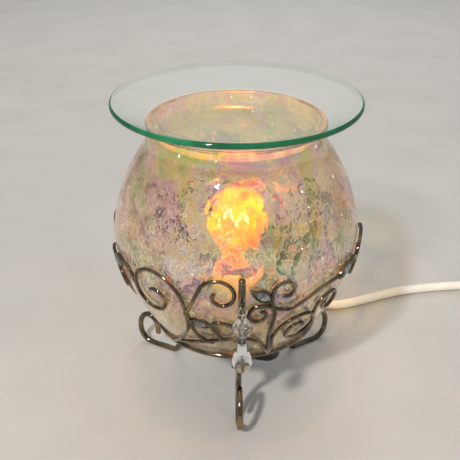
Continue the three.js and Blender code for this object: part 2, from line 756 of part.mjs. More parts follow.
// From the strain relief along the floor to the switch
const CORD_ROUTE = [
  [13.5, 42.2, 27], [15.6, 47.9, 27], [18.2, 54.2, 26.6], [22.2, 60.5, 25.1], [27.6, 65.4, 22.2],
  [34.4, 68.4, 17.9], [42.2, 69.4, 12.6], [50.6, 68.8, 7.7], [59.5, 67.7, 4.4], [69, 67.4, 3.2],
  [79, 69.3, 3.1], [89, 72.8, 3.1], [98.6, 76.6, 3.1], [108.4, 80.2, 3.1], [119, 83.4, 3.1],
  [133, 86, 3.1], [150, 88, 3.1], [168, 89.4, 3.1], [186, 90.3, 3.1], [204, 90.6, 3.1],
  [215, 90.1, 3.1], [226, 87.2, 3.2], [235.6, 82.1, 3.6], [243, 74.6, 4.4], [247.4, 65.6, 5.3],
  [249, 57.4, 5.9], [249, 50.3, 6],
].map((point) => new THREE.Vector3(...point));

// From the switch round the coil to the plug: inwards on the floor, up a layer, and outwards again
function coilRoute() {
  const start = SWITCH_PLACE.y - SWITCH_SIZE.x / 2 - GAP;
  const centre = COIL_PLACE;
  const x = centre.x + COIL_R;
  const run = start - centre.y;
  const points = [
    new THREE.Vector3(x, start, 6),
    new THREE.Vector3(x, start - CORD, 6),
    new THREE.Vector3(x, centre.y + run / 2, 0.4 * 6 + 0.6 * COIL_Z),
    new THREE.Vector3(x, centre.y + run / 5, COIL_Z),
  ];
  const turns = 2 * COIL_LAYER_TURNS + COIL_CLIMB_TURNS;
  const count = Math.round(turns * LOOP_STEPS);
  for (let k = 0; k <= count; k += 1) {
    const turn = (turns * k) / count;
    const upper = turn - COIL_LAYER_TURNS - COIL_CLIMB_TURNS;
    const inward = Math.min(turn, COIL_LAYER_TURNS) - Math.max(upper, 0);
    const climb = THREE.MathUtils.smoothstep(turn - COIL_LAYER_TURNS, 0, COIL_CLIMB_TURNS);
    const radius = COIL_R - COIL_PITCH * inward;
    const angle = -2 * Math.PI * turn;
    const side = new THREE.Vector3(Math.cos(angle), Math.sin(angle), 0).multiplyScalar(radius);
    points.push(side.add(new THREE.Vector3(centre.x, centre.y, COIL_Z + climb * COIL_PITCH)));
  }
  const endY = centre.y - COIL_R;
  const plugEnd = PLUG_FACE_X + PLUG_SIZE.y + PLUG_NECK + GAP;
  points.push(new THREE.Vector3((centre.x + plugEnd) / 2, endY, (COIL_Z + COIL_PITCH + PLUG_Z) / 2));
  points.push(new THREE.Vector3(plugEnd + CORD, endY, PLUG_Z));
  points.push(new THREE.Vector3(plugEnd, endY, PLUG_Z));
  return points;
}

// Least clear distance of a cord from itself, between points that are further apart along it
// than a loop's corner
function leastGap(points) {
  const path = new THREE.CatmullRomCurve3(points, false, 'centripetal');
  const samples = path.getSpacedPoints(600);
  const step = path.getLength() / 600;
  const apart = Math.ceil((8 * CORD) / step);
  let least = Infinity;
  for (let a = 0; a < samples.length; a += 1) {
    for (let b = a + apart; b < samples.length; b += 1) {
      least = Math.min(least, samples[a].distanceTo(samples[b]));
    }
  }
  return least - CORD;
}

function coil() {
  const route = coilRoute();
  console.log(`cord coil: least gap to itself ${leastGap(route).toFixed(2)} mm`);
  const loopStep = (2 * Math.PI * COIL_R) / (LOOP_STEPS + 2);
  return tube(route, CORD / 2, 6, loopStep);
}

// A strip round the bundle of turns, on the side of the coil that faces the lamp
function cordTie() {
  const inner = COIL_R - COIL_PITCH * COIL_LAYER_TURNS - CORD / 2 - 2 * GAP;
  const outer = COIL_R + CORD / 2 - COIL_PITCH / 2 + 2 * GAP;
  const height = CORD + COIL_PITCH + 2 * GAP;
  const strip = roundedOutline(outer - inner + 2 * TIE_STRIP, height + 2 * TIE_STRIP, 2.4);
  strip.holes.push(roundedOutline(outer - inner, height, 1.8));
  const middleZ = COIL_Z + COIL_PITCH / 2;
  const band = slab(strip, -TIE_WIDTH / 2, TIE_WIDTH / 2, 2).rotateX(Math.PI / 2);
  return band.translate(COIL_PLACE.x - (inner + outer) / 2, COIL_PLACE.y, middleZ);
}

const seamZ = SWITCH_SIZE.z / 2 - 0.5;
const rockerZ = SWITCH_SIZE.z - ROCKER_SIZE.z / 2;

function switchLower() {
  const outline = roundedOutline(SWITCH_SIZE.x, SWITCH_SIZE.y, SWITCH_CORNER);
  return slab(outline, GAP, seamZ - GAP / 2);
}

function switchUpper() {
  const outline = roundedOutline(SWITCH_SIZE.x, SWITCH_SIZE.y, SWITCH_CORNER);
  const window = new THREE.Vector3(ROCKER_SIZE.x + 5 * GAP, ROCKER_SIZE.y + 2 * GAP, 2 * ROCKER_SIZE.z);
  const shell = solid(slab(outline, seamZ + GAP / 2, SWITCH_SIZE.z));
  return geometryOf(shell.subtract(solid(box(window, 0, 0, SWITCH_SIZE.z))));
}

// The rocker's top is a shallow V, and one end is pressed in.
function rocker() {
  const half = ROCKER_SIZE.x / 2;
  const rise = ROCKER_SIZE.z / 2;
  const side = new THREE.Shape([
    new THREE.Vector2(-half, 0),
    new THREE.Vector2(0, -rise + GAP),
    new THREE.Vector2(half, 0),
    new THREE.Vector2(half, rise + 0.8),
    new THREE.Vector2(0, rise),
    new THREE.Vector2(-half, rise + 0.8),
  ]);
  return slab(side, -ROCKER_SIZE.y / 2, ROCKER_SIZE.y / 2).rotateX(Math.PI / 2);
}

function plugBody() {
  const outline = roundedOutline(PLUG_SIZE.x, PLUG_SIZE.z, 4);
  const head = slab(outline, 0, PLUG_SIZE.y);
  const neckEnd = PLUG_SIZE.y + PLUG_NECK;
  const neckStart = PLUG_SIZE.y - 1;
  const neck = lathe([[0, neckStart], [6, neckStart], [CORD / 2 + 1, neckEnd], [0, neckEnd]], 14);
  return geometryOf(joined([head, neck]));
}

// Assembly

const lamp = new THREE.Group();
lamp.position.y = AXIS_Y;

add(lamp, 'glass_dish', dish(), 'dishGlass');
add(lamp, 'glass_globe', globe(), 'crackleGlass');

add(lamp, 'bulb_glass', bulbGlass(), 'bulbGlass');
add(lamp, 'bulb_screw_cap', bulbCap(), 'nickel');
const insulatorTop = CAP_BOTTOM_Z - GAP;
const insulatorBottom = insulatorTop - 2;
const insulator = [
  [0, insulatorBottom],
  [3.6, insulatorBottom],
  [CAP_R - 1.5, insulatorTop],
  [0, insulatorTop],
];
add(lamp, 'bulb_insulator', lathe(insulator, SMALL_ROUND), 'blackPlastic');
const buttonTop = insulatorBottom - GAP;
const button = [[0, buttonTop - 0.7], [2, buttonTop - 0.7], [2.8, buttonTop], [0, buttonTop]];
add(lamp, 'bulb_contact', lathe(button, 12), 'nickel');
add(lamp, 'bulb_stem', bulbStem(), 'bulbGlass');
add(lamp, 'bulb_filament', bulbFilament(), 'filament');

const sleeveBottom = plateTop + GAP;
const sleeve = sleeveTube(SLEEVE_R - SLEEVE_WALL, SLEEVE_R, sleeveBottom, SLEEVE_TOP_Z);
add(lamp, 'candle_sleeve', sleeve, 'whitePlastic');
add(lamp, 'lampholder_body', lampholderBody(), 'whitePlastic');
const shellBottom = HOLDER_FLOOR_Z + GAP + 4;
add(lamp, 'lampholder_screw_shell', sleeveTube(CAP_R + GAP, shellR, shellBottom, holderTop), 'brass');
add(lamp, 'lampholder_contact', lampholderContact(), 'brass');

add(lamp, 'base_plate', basePlate(), 'darkMetal');
const nippleTop = holderBottom + HOLDER_BASE - GAP;
const nippleBottom = nutTop - NUT_HEIGHT - 3;
add(lamp, 'threaded_nipple', sleeveTube(NIPPLE_BORE_R, NIPPLE_R, nippleBottom, nippleTop, 16), 'brass');
const washerBottom = washerTop - WASHER_THICKNESS;
add(lamp, 'lock_washer', sleeveTube(NIPPLE_R + GAP, WASHER_R, washerBottom, washerTop, 16), 'nickel');
add(lamp, 'lock_nut', lockNut(), 'brass');
add(lamp, 'wiring_cover', wiringCover(), 'blackPlastic');

const relief = add(lamp, 'strain_relief', strainRelief(), 'blackPlastic');
relief.rotation.z = rad(RELIEF_AZIMUTH);
const reliefRoot = COVER_R + GAP;
relief.position.set(reliefRoot, 0, RELIEF_Z).applyAxisAngle(new THREE.Vector3(0, 0, 1), rad(RELIEF_AZIMUTH));

add(lamp, 'hoop', hoop(), 'darkMetal');

const PANEL_NAMES = ['right', 'back', 'left'];
LEG_NAMES.forEach((name, k) => {
  const sector = new THREE.Group();
  sector.rotation.z = rad(FRONT_AZIMUTH + k * SECTOR);
  add(sector, `leg_${name}`, leg(k === 0 ? FRONT_FOOT_BEND : 0), 'darkMetal');
  add(sector, `crystal_link_${name}`, crystalLink(), 'nickel').position.x = crystalR;
  add(sector, `crystal_bead_${name}`, crystalBead(), 'crystal').position.x = crystalR;
  add(sector, `crystal_drop_${name}`, crystalDrop(), 'crystal').position.x = crystalR;
  add(sector, `scrollwork_${PANEL_NAMES[k]}`, scrollPanel(), 'darkMetal');
  LEAVES.forEach((leaf, i) => {
    add(sector, `leaf_stone_${PANEL_NAMES[k]}_${i + 1}`, leafStone(leaf), 'stone');
  });
  lamp.add(sector);
});

const wiring = new THREE.Group();
add(wiring, 'cord_lead', tube(CORD_ROUTE, CORD / 2, 8, CORD_STEP), 'whitePlastic');
add(wiring, 'cord_coil', coil(), 'whitePlastic');
add(wiring, 'cord_tie', cordTie(), 'blackPlastic');

const cordSwitch = new THREE.Group();
cordSwitch.position.set(SWITCH_PLACE.x, SWITCH_PLACE.y, 0);
cordSwitch.rotation.z = -Math.PI / 2;
add(cordSwitch, 'switch_lower_shell', switchLower(), 'whitePlastic');
add(cordSwitch, 'switch_upper_shell', switchUpper(), 'whitePlastic');
const rockerMesh = add(cordSwitch, 'switch_rocker', rocker(), 'whitePlastic');
rockerMesh.position.z = rockerZ;
rockerMesh.rotation.y = rad(ROCKER_TILT);
wiring.add(cordSwitch);

const plug = new THREE.Group();
plug.position.set(PLUG_FACE_X, COIL_PLACE.y - COIL_R, PLUG_Z);
plug.rotation.set(Math.PI / 2, Math.PI / 2, 0);
add(plug, 'plug_body', plugBody(), 'whitePlastic');
wiring.add(plug);
[-1, 1].forEach((side) => {
  const bladeY = COIL_PLACE.y - COIL_R + (side * BLADE_SPACING) / 2;
  const blade = box(BLADE_SIZE, PLUG_FACE_X - GAP - BLADE_SIZE.x / 2, bladeY, PLUG_Z);
  add(wiring, `plug_blade_${side < 0 ? 'front' : 'back'}`, blade, 'brass');
});

const aromaLamp = new THREE.Group();
aromaLamp.add(lamp, wiring);

export default aromaLamp;
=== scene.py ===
"""Aroma lamp: a flared glass dish on a lit crackle-glass globe, in a three-legged basket of scroll wire.

Shapes are worked out in millimetres, the lamp's own about its axis, and go to metres when a piece is made.
"""

import math

import bmesh
import bpy
from mathutils import Matrix, Vector


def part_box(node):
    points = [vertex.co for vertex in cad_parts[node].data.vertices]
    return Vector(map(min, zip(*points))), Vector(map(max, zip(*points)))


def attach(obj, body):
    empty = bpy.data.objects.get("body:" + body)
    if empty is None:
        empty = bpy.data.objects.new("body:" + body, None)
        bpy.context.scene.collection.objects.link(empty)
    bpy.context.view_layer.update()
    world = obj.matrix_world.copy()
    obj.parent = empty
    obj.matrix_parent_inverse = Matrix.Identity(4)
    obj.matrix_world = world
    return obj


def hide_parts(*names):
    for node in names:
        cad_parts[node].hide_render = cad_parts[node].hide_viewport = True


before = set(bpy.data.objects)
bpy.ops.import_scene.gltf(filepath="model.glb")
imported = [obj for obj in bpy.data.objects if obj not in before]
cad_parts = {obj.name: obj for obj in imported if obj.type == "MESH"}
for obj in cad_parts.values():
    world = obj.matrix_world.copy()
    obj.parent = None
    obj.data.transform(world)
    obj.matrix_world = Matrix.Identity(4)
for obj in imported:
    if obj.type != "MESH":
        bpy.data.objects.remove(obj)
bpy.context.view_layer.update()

MM = 0.001
TURN = 2 * math.pi

# The lamp's axis, from the dish
dish_low, dish_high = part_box("glass_dish")
AXIS = (dish_low + dish_high) / 2 / MM
AXIS.z = 0

# Sizes that the CAD model is built from: millimetres and degrees, with the coil's turns and a few shares
GAP = 0.3
BELLY_R, BELLY_Z = 65, 101
CROWN_RISE, FOOT_DROP, FULLNESS = 79, 82.5, 1.7
GLOBE_WALL, GLOBE_FOOT_Z, SHOULDER_Z = 3, 41.3, 148
NECK_R, NECK_TOP_Z = 46, 160.5
RIM_R, RIM_Z, DISH_GLASS, DISH_DEPTH, DISH_FLOOR_R = 63, 172, 3, 21.5, 28
SECTOR, FRONT_AZIMUTH = 120, -90
LEG_ROD, WIRE, HOOP_ROD = 3.4, 2, 2.6
WIRE_LIFT = 0.2
HOOP_Z, POST_TOP_Z, POST_BLEND = 45.5, 106, 20
HEEL_R, SOLE_R, TOE_R, FRONT_FOOT_BEND = 37, 47.5, 68, 37
CURL_WIDTH, CURL_HEIGHT, CURL_CLOSING, FOOT_FLAT = 15.2, 21.7, 0.8, 0.6
SETTING_WALL, SETTING_FLOOR, SETTING_HEIGHT = 0.7, 0.6, 2.2
STONE_CROWN, STONE_TABLE = 0.9, 0.5
EYE_Z, EYE_R, EYE_WIRE = 95, 2.7, 1.4
LINK_R, LINK_WIRE = 2, 1.2
BEAD_R, BEAD_HEIGHT, BEAD_Z = 5, 9.2, 82.4
DROP_R, DROP_HEIGHT, DROP_TOP_Z, PIN_DEPTH = 5, 20, 76.5, 4
SLEEVE_R, SLEEVE_WALL, SLEEVE_TOP_Z = 12.6, 1.1, 72
CAP_R, CAP_WALL, CAP_BOTTOM_Z, CAP_TOP_Z = 8.3, 0.9, 59.5, 79
THREADS, THREAD_DEPTH = 5, 0.5
BULB_R, BULB_Z, BULB_WALL, BULB_NECK_DEPTH = 14.5, 106, 0.8, 5
STEM_R, STEM_TOP_Z = 2, 91
FILAMENT_WIRE, FILAMENT_SPAN, FILAMENT_RISE, FILAMENT_Z = 0.8, 13, 7, 101
COVER_R, COVER_LOBE_R, COVER_LOBE = 13, 7.5, Vector((17.5, -10.5))
COVER_BOTTOM_Z, COVER_TOP_Z, COVER_WALL = 20, 38.3, 2
RELIEF_AZIMUTH, RELIEF_Z, RELIEF_LENGTH, RELIEF_ROOT_R = 70, 27, 26, 5.6
CORD, CORD_SWITCH_Z = 6, 6
COIL_R, COIL_PITCH, COIL_LAYER_TURNS, COIL_CLIMB_TURNS, COIL_Z = 43, 7.4, 2.375, 0.5, 4
COIL_PLACE, SWITCH_PLACE = Vector((206, -37, 0)), Vector((249, 24, 0))
SWITCH_LENGTH, SWITCH_WIDTH, SWITCH_HEIGHT, SWITCH_CORNER = 52, 22, 15, 7
ROCKER_LENGTH, ROCKER_WIDTH = 13.6, 8
PLUG_FACE_X, PLUG_WIDTH, PLUG_LENGTH, PLUG_HEIGHT, PLUG_NECK, PLUG_Z = 146, 24, 25, 15, 11, 8.2
TIE_STRIP, TIE_WIDTH = 0.6, 5

# Beads of weld metal and solder, which only the scene has
WELD_R, SOLDER_R = 1.1, 1.35

# Steps between two points of a curve, along an eased profile, round a turn of the coil and round a corner
CURVE_STEPS, EASE_STEPS, LOOP_STEPS, CORNER_POINTS = 24, 4, 24, 6

# The rings of a rod's domed end: how far out, and how wide, as shares of its radius
DOME = ((0.92, 0.38), (0.71, 0.71), (0.38, 0.92))

# The radius of a turning's point on its axis, the distance in metres at which points are one, and the bend
# in degrees that makes an edge sharp
ON_AXIS, MERGE_DISTANCE, SHARP_BEND = 1e-4, 1e-6, 38

# The globe's pattern in millimetres, and which of the possible sets of film shards it has
SHARD, SPLINTER, SEED, CHIP, HAIRLINE = 21, 8, 5, 3.4, 1.8
SHARD_THROW = 2

# The photograph's frame and where it was taken from, about the lamp's axis
PHOTO_PX, FOCAL_PX = 460, 760
CAMERA_PLACE = Vector((-15.9, -361.8, 293.5))
CAMERA_PITCH, CAMERA_HEADING = -28.54, -2


# Numbers and paths


def lerp(a, b, t):
    return a + (b - a) * t


def smooth(t):
    t = min(max(t, 0), 1)
    return t * t * (3 - 2 * t)


def polar(radius, degrees, z=0):
    angle = math.radians(degrees)
    return Vector((radius * math.cos(angle), radius * math.sin(angle), z))


def arc(r, z, radius, degrees):
    """A round stretch of a turning's profile, at the given degrees up from outwards."""
    turns = [math.radians(d) for d in degrees]
    return [(r + radius * math.cos(a), z + radius * math.sin(a)) for a in turns]


def through(points, step):
    """Points a step apart on a smooth curve through the given ones: the CAD's centripetal Catmull-Rom."""
    points = [Vector(p).to_3d() for p in points]
    padded = [2 * points[0] - points[1], *points, 2 * points[-1] - points[-2]]
    fine = []
    for p0, p1, p2, p3 in zip(padded, padded[1:], padded[2:], padded[3:]):
        d0, d1, d2 = ((b - a).length ** 0.5 or 1 for a, b in ((p0, p1), (p1, p2), (p2, p3)))
        m1 = ((p1 - p0) / d0 - (p2 - p0) / (d0 + d1) + (p2 - p1) / d1) * d1
        m2 = ((p2 - p1) / d1 - (p3 - p1) / (d1 + d2) + (p3 - p2) / d2) * d1
        for k in range(CURVE_STEPS):
            t = k / CURVE_STEPS
            bow = (3 * (p2 - p1) - 2 * m1 - m2) * t**2
            sway = (2 * (p1 - p2) + m1 + m2) * t**3
            fine.append(p1 + m1 * t + bow + sway)
    fine.append(points[-1])
    return spaced(fine, step)


def spaced(fine, step):
    """Points an even step apart along a line of many points."""
    run = [0]
    for a, b in zip(fine, fine[1:]):
        run.append(run[-1] + (b - a).length)
    count = max(2, round(run[-1] / step))
    path, k = [], 0
    for i in range(count + 1):
        goal = run[-1] * i / count
        while k + 2 < len(run) and run[k + 1] < goal:
            k += 1
        share = (goal - run[k]) / max(run[k + 1] - run[k], 1e-9)
        path.append(fine[k].lerp(fine[k + 1], min(share, 1)))
    return path


def rounded(profile):
    """A turning's profile with its corners eased."""
    line = [Vector((r, 0, z)) for r, z in profile]
    length = sum((b - a).length for a, b in zip(line, line[1:]))
    dense = through(line, length / (EASE_STEPS * len(line)))
    return [(p.x, p.z) for p in dense]


# Meshes, as (points, faces) in millimetres


def join(*meshes):
    points, faces = [], []
    for more_points, more_faces in meshes:
        start = len(points)
        points += more_points
        faces += [[start + i for i in face] for face in more_faces]
    return points, faces


def moved(mesh, matrix):
    points, faces = mesh
    return [matrix @ p for p in points], faces


def loft(rings, loop=False):
    """Skin over rings of points, each with the same count, closed at both ends unless it is a loop."""
    count = len(rings[0])
    last = len(rings) - 1
    points = [p for ring in rings for p in ring]
    pairs = [(a, a + 1) for a in range(last)]
    ends = [list(range(count))[::-1], [last * count + k for k in range(count)]]
    if loop:
        pairs.append((last, 0))
        ends = []
    faces = []
    for a, b in pairs:
        for k in range(count):
            n = (k + 1) % count
            faces.append([a * count + k, a * count + n, b * count + n, b * count + k])
    return points, faces + ends


def turned(profile, segments, loop=False):
    """A turning about Z. A profile that isn't a loop starts and ends on the axis."""
    turns = [360 * k / segments for k in range(segments)]
    return loft([[polar(max(r, ON_AXIS), turn, z) for turn in turns] for r, z in profile], loop)


def rod(path, radius, sides=12, domed=True):
    """A round rod along a path, with domed or flat ends."""
    last = len(path) - 1
    ahead = [(path[min(i + 1, last)] - path[max(i - 1, 0)]).normalized() for i in range(last + 1)]
    across = ahead[0].orthogonal().normalized()
    axes = []
    for direction in ahead:
        across = (across - across.dot(direction) * direction).normalized()
        axes.append((across, direction.cross(across)))
    turns = [TURN * k / sides for k in range(sides)]

    def ring(i, shift, share):
        side, up = axes[i]
        centre = path[i] + ahead[i] * shift * radius
        return [centre + (side * math.cos(a) + up * math.sin(a)) * radius * share for a in turns]

    dome = DOME if domed else ()
    rings = [ring(0, -shift, share) for shift, share in dome]
    rings += [ring(i, 0, 1) for i in range(last + 1)]
    rings += [ring(last, shift, share) for shift, share in dome[::-1]]
    return loft(rings)


def torus(major, minor, around=28, sides=10):
    """A ring in the XY plane."""
    return turned(arc(major, 0, minor, [360 * k / sides for k in range(sides)]), around, loop=True)


def solder(place, radius):
    """A small ball of solder or weld metal."""
    ball = turned(arc(0, 0, radius, [-90 + 22.5 * k for k in range(9)]), segments=12)
    return moved(ball, Matrix.Translation(place))


def faceted(profile, facets):
    """A cut crystal: each ring of corners is turned half a step against the last, so facets are triangles."""
    points, faces = [], []
    for level, (r, z) in enumerate(profile):
        points += [polar(r, 360 * (k + level % 2 / 2) / facets, z) for k in range(facets)]
    for level in range(len(profile) - 1):
        low, high = level * facets, (level + 1) * facets
        for k in range(facets):
            n, b = (k + 1) % facets, (k - 1) % facets
            if level % 2:
                faces += [[low + k, low + n, high + n], [low + k, high + n, high + k]]
            else:
                faces += [[low + k, low + n, high + k], [low + k, high + k, high + b]]
    faces += [list(range(facets))[::-1], [len(points) - facets + k for k in range(facets)]]
    return points, faces


def rounded_outline(length, width, corner, z):
    """A rectangle with round corners, in the XY plane."""
    x, y = length / 2 - corner, width / 2 - corner
    outline = []
    for start, sx, sy in ((0, 1, 1), (90, -1, 1), (180, -1, -1), (270, 1, -1)):
        for k in range(CORNER_POINTS):
            place = polar(corner, start + 90 * k / (CORNER_POINTS - 1), z)
            outline.append(place + Vector((sx * x, sy * y, 0)))
    return outline


# Pieces


def placed(name, data):
    """Makes an object of a mesh, curve, light or camera, and puts it in the scene."""
    made = bpy.data.objects.new(name, data)
    bpy.context.scene.collection.objects.link(made)
    return made


def stand_in(name, data, body):
    """Puts a piece on a CAD body, in place of the CAD node that it is named for."""
    made = placed(name, data)
    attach(made, body)
    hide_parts(name)
    return made


def piece(name, mesh, body, material, about_axis=True, flat=False):
    """Makes a piece of a mesh in millimetres, smooth between its sharp edges or flat on each face."""
    points, faces = mesh
    shift = AXIS if about_axis else Vector()
    data = bpy.data.meshes.new(name)
    data.from_pydata([(p + shift) * MM for p in points], [], faces)
    work = bmesh.new()
    work.from_mesh(data)
    bmesh.ops.remove_doubles(work, verts=work.verts, dist=MERGE_DISTANCE)
    bmesh.ops.recalc_face_normals(work, faces=work.faces)
    work.to_mesh(data)
    work.free()
    data.materials.append(material)
    if not flat:
        data.shade_smooth()
        data.set_sharp_from_angle(angle=math.radians(SHARP_BEND))
    return stand_in(name, data, body)


def paint(made, material, chosen):
    """Gives the chosen faces of a piece one more material."""
    made.data.materials.append(material)
    for face in made.data.polygons:
        if chosen(face):
            face.material_index = len(made.data.materials) - 1


def from_axis(face):
    """Where a face is from the lamp's axis, seen from above."""
    return (face.center / MM - AXIS).to_2d()


def dress(material, *nodes):
    """Gives CAD nodes that stay in view their finish."""
    for name in nodes:
        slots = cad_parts[name].data.materials
        slots.clear()
        slots.append(material)


# Materials

# Kinds of node that come up often
NOISE, VORONOI, COLOUR_RAMP = "ShaderNodeTexNoise", "ShaderNodeTexVoronoi", "ShaderNodeValToRGB"
MATH, VECTOR_MATH, MAP_RANGE = "ShaderNodeMath", "ShaderNodeVectorMath", "ShaderNodeMapRange"
BUMP, PRINCIPLED, CLEAR = "ShaderNodeBump", "ShaderNodeBsdfPrincipled", "ShaderNodeBsdfTransparent"
MIX_SHADER, OUTPUT = "ShaderNodeMixShader", "ShaderNodeOutputMaterial"


def linear(hex_colour):
    """An sRGB hex colour as linear red, green, blue and alpha."""
    channels = [int(hex_colour[i : i + 2], 16) / 255 for i in (1, 3, 5)]
    return (*[c / 12.92 if c <= 0.04045 else ((c + 0.055) / 1.055) ** 2.4 for c in channels], 1)


def add(tree, kind, inputs=None, stops=(), **settings):
    """Adds a node with its settings and links.

    An input is a value, a socket, or a node that gives its first output. Stops are the places and hex colours
    of a colour ramp.
    """
    made = tree.nodes.new(kind)
    for name, value in settings.items():
        setattr(made, name, value)
    for name, value in (inputs or {}).items():
        if isinstance(value, bpy.types.Node):
            value = value.outputs[0]
        if isinstance(value, bpy.types.NodeSocket):
            tree.links.new(value, made.inputs[name])
        else:
            made.inputs[name].default_value = value
    elements = made.color_ramp.elements if stops else []
    while len(elements) < len(stops):
        elements.new(1)
    for element, (position, colour) in zip(elements, stops):
        element.position = position
        element.color = linear(colour)
    return made


def per_mm(size):
    """A pattern's scale in a metre-sized object, from its feature size in millimetres."""
    return 1 / (size * MM)


def new_material(name):
    """An empty material, its node tree, and the place on the piece for its patterns."""
    material = bpy.data.materials.new(name)
    material.use_nodes = True
    tree = material.node_tree
    tree.nodes.clear()
    return material, tree, add(tree, "ShaderNodeTexCoord").outputs["Object"]


def drifting(tree, place, stops, size, detail):
    """A soft pattern with features of a size in millimetres, and the colours that it drifts through."""
    drift = add(tree, NOISE, {"Vector": place, "Scale": per_mm(size), "Detail": detail})
    return drift, add(tree, COLOUR_RAMP, {"Fac": drift}, stops)


def by_height(tree, place, low, high, start, end):
    """A value that goes from start to end between two heights on the piece, in millimetres."""
    height = add(tree, "ShaderNodeSeparateXYZ", {"Vector": place}).outputs["Z"]
    span = {"Value": height, "From Min": low * MM, "From Max": high * MM, "To Min": start, "To Max": end}
    return add(tree, MAP_RANGE, span)


def lamplight_passes(tree, surface, tint):
    """Glass of which the eye sees the surface, and that lamplight passes as it would a pane."""
    pane = add(tree, CLEAR, {"Color": tint})
    lamp_ray = add(tree, "ShaderNodeLightPath").outputs["Is Shadow Ray"]
    return add(tree, MIX_SHADER, {"Fac": lamp_ray, 1: surface, 2: pane})


def soda_glass(name, lamplight=0.0):
    """Soda-lime glass, pressed and fire-polished: nearly unseen face on, a grey-green line edge on.

    Where it gathers the lamp's light from below, an amber glow is painted on its outside for that light.
    """
    material, tree, place = new_material(name)
    ripple = add(tree, NOISE, {"Vector": place, "Scale": per_mm(30), "Detail": 1})
    bump = add(tree, BUMP, {"Height": ripple, "Strength": 0.1, "Distance": 0.6 * MM})
    edge_on = add(tree, "ShaderNodeLayerWeight", {"Blend": 0.5}).outputs["Facing"]
    depth = add(tree, MATH, {0: edge_on, 1: 4.0}, operation="POWER")
    greens = [(0.0, "#ffffff"), (0.4, "#f3f6f3"), (1.0, "#b3c4b8")]
    tint = add(tree, COLOUR_RAMP, {"Fac": depth}, greens)
    skin = {"Base Color": linear("#eef5f1"), "Roughness": 0.02, "IOR": 1.5, "Normal": bump}
    cover = add(tree, MATH, {0: depth, 1: 0.3, 2: 0.05}, operation="MULTIPLY_ADD")
    # A painted amber glow, strongest face on, and a more covering outside skin stand in for lamplight carried
    # in the glass
    if lamplight:
        ambers = [(0.35, "#ff9a3c"), (0.65, "#ffb460")]
        skin["Emission Color"] = add(tree, COLOUR_RAMP, {"Fac": ripple}, ambers)
        face_on = {"Value": depth, "From Max": 0.5, "To Min": 1.6, "To Max": 0.0}
        skin["Emission Strength"] = add(tree, MAP_RANGE, face_on)
        from_inside = add(tree, "ShaderNodeNewGeometry").outputs["Backfacing"]
        outside = {0: from_inside, 1: -lamplight, 2: lamplight}
        lit = add(tree, MATH, outside, operation="MULTIPLY_ADD")
        cover = add(tree, MATH, {0: cover, 1: lit}, operation="ADD")
    pane = add(tree, CLEAR, {"Color": tint})
    gloss = add(tree, PRINCIPLED, skin)
    add(tree, OUTPUT, {"Surface": add(tree, MIX_SHADER, {"Fac": cover, 1: pane, 2: gloss})})
    return material


def glass_edge():
    """The same glass at its ground rim: deep bottle green, with a faint green glow painted on for light that
    ran through it and comes out there.
    """
    material, tree, place = new_material("soda_glass_edge")
    greens = [(0.32, "#0a4a30"), (0.55, "#116540"), (0.7, "#1f8456")]
    _, green = drifting(tree, place, greens, size=24, detail=2)
    # The faint green emission is a painted glow, not a lamp
    skin = {
        "Base Color": green, "Roughness": 0.06, "IOR": 1.5, "Emission Color": green,
        "Emission Strength": 0.06,
    }
    rim = add(tree, PRINCIPLED, skin)
    clear = add(tree, CLEAR, {"Color": linear("#f1f6f3")})
    from_inside = add(tree, "ShaderNodeNewGeometry").outputs["Backfacing"]
    add(tree, OUTPUT, {"Surface": add(tree, MIX_SHADER, {"Fac": from_inside, 1: rim, 2: clear})})
    return material


def crazing(tree, place):
    """How far the glass is crazed: all round the belly, and less towards the neck and the foot."""
    below_neck = by_height(tree, place, low=124, high=153, start=1.0, end=0.3)
    above_foot = by_height(tree, place, low=50, high=88, start=0.35, end=1.0)
    return add(tree, MATH, {0: below_neck, 1: above_foot}, operation="MULTIPLY")


def crack_net(tree, drawn, bend, bent, chip_edge):
    """Cracks round the chips, which come and go, and patches of hairlines."""
    crack = {"Value": chip_edge, "From Max": 0.05, "To Min": 1.0, "To Max": 0.0}
    wide = add(tree, MAP_RANGE, crack)
    held = add(tree, MAP_RANGE, {"Value": bend, "From Min": 0.42, "From Max": 0.6, "To Min": 0.1})
    split = add(tree, MATH, {0: wide, 1: held}, operation="MULTIPLY")
    # Real hairline cracks are finer than this, but would be lost at the picture's size
    cells = {"Vector": bent, "Scale": per_mm(HAIRLINE)}
    cell_edge = add(tree, VORONOI, cells, feature="DISTANCE_TO_EDGE")
    fine = add(tree, MAP_RANGE, {"Value": cell_edge, "From Max": 0.1, "To Min": 0.9, "To Max": 0.0})
    patchy = add(tree, NOISE, {"Vector": drawn, "Scale": per_mm(11), "Detail": 3})
    opened = add(tree, MAP_RANGE, {"Value": patchy, "From Min": 0.38, "From Max": 0.58})
    hairline = add(tree, MATH, {0: fine, 1: opened}, operation="MULTIPLY")
    return add(tree, MATH, {0: split, 1: hairline}, operation="MAXIMUM")


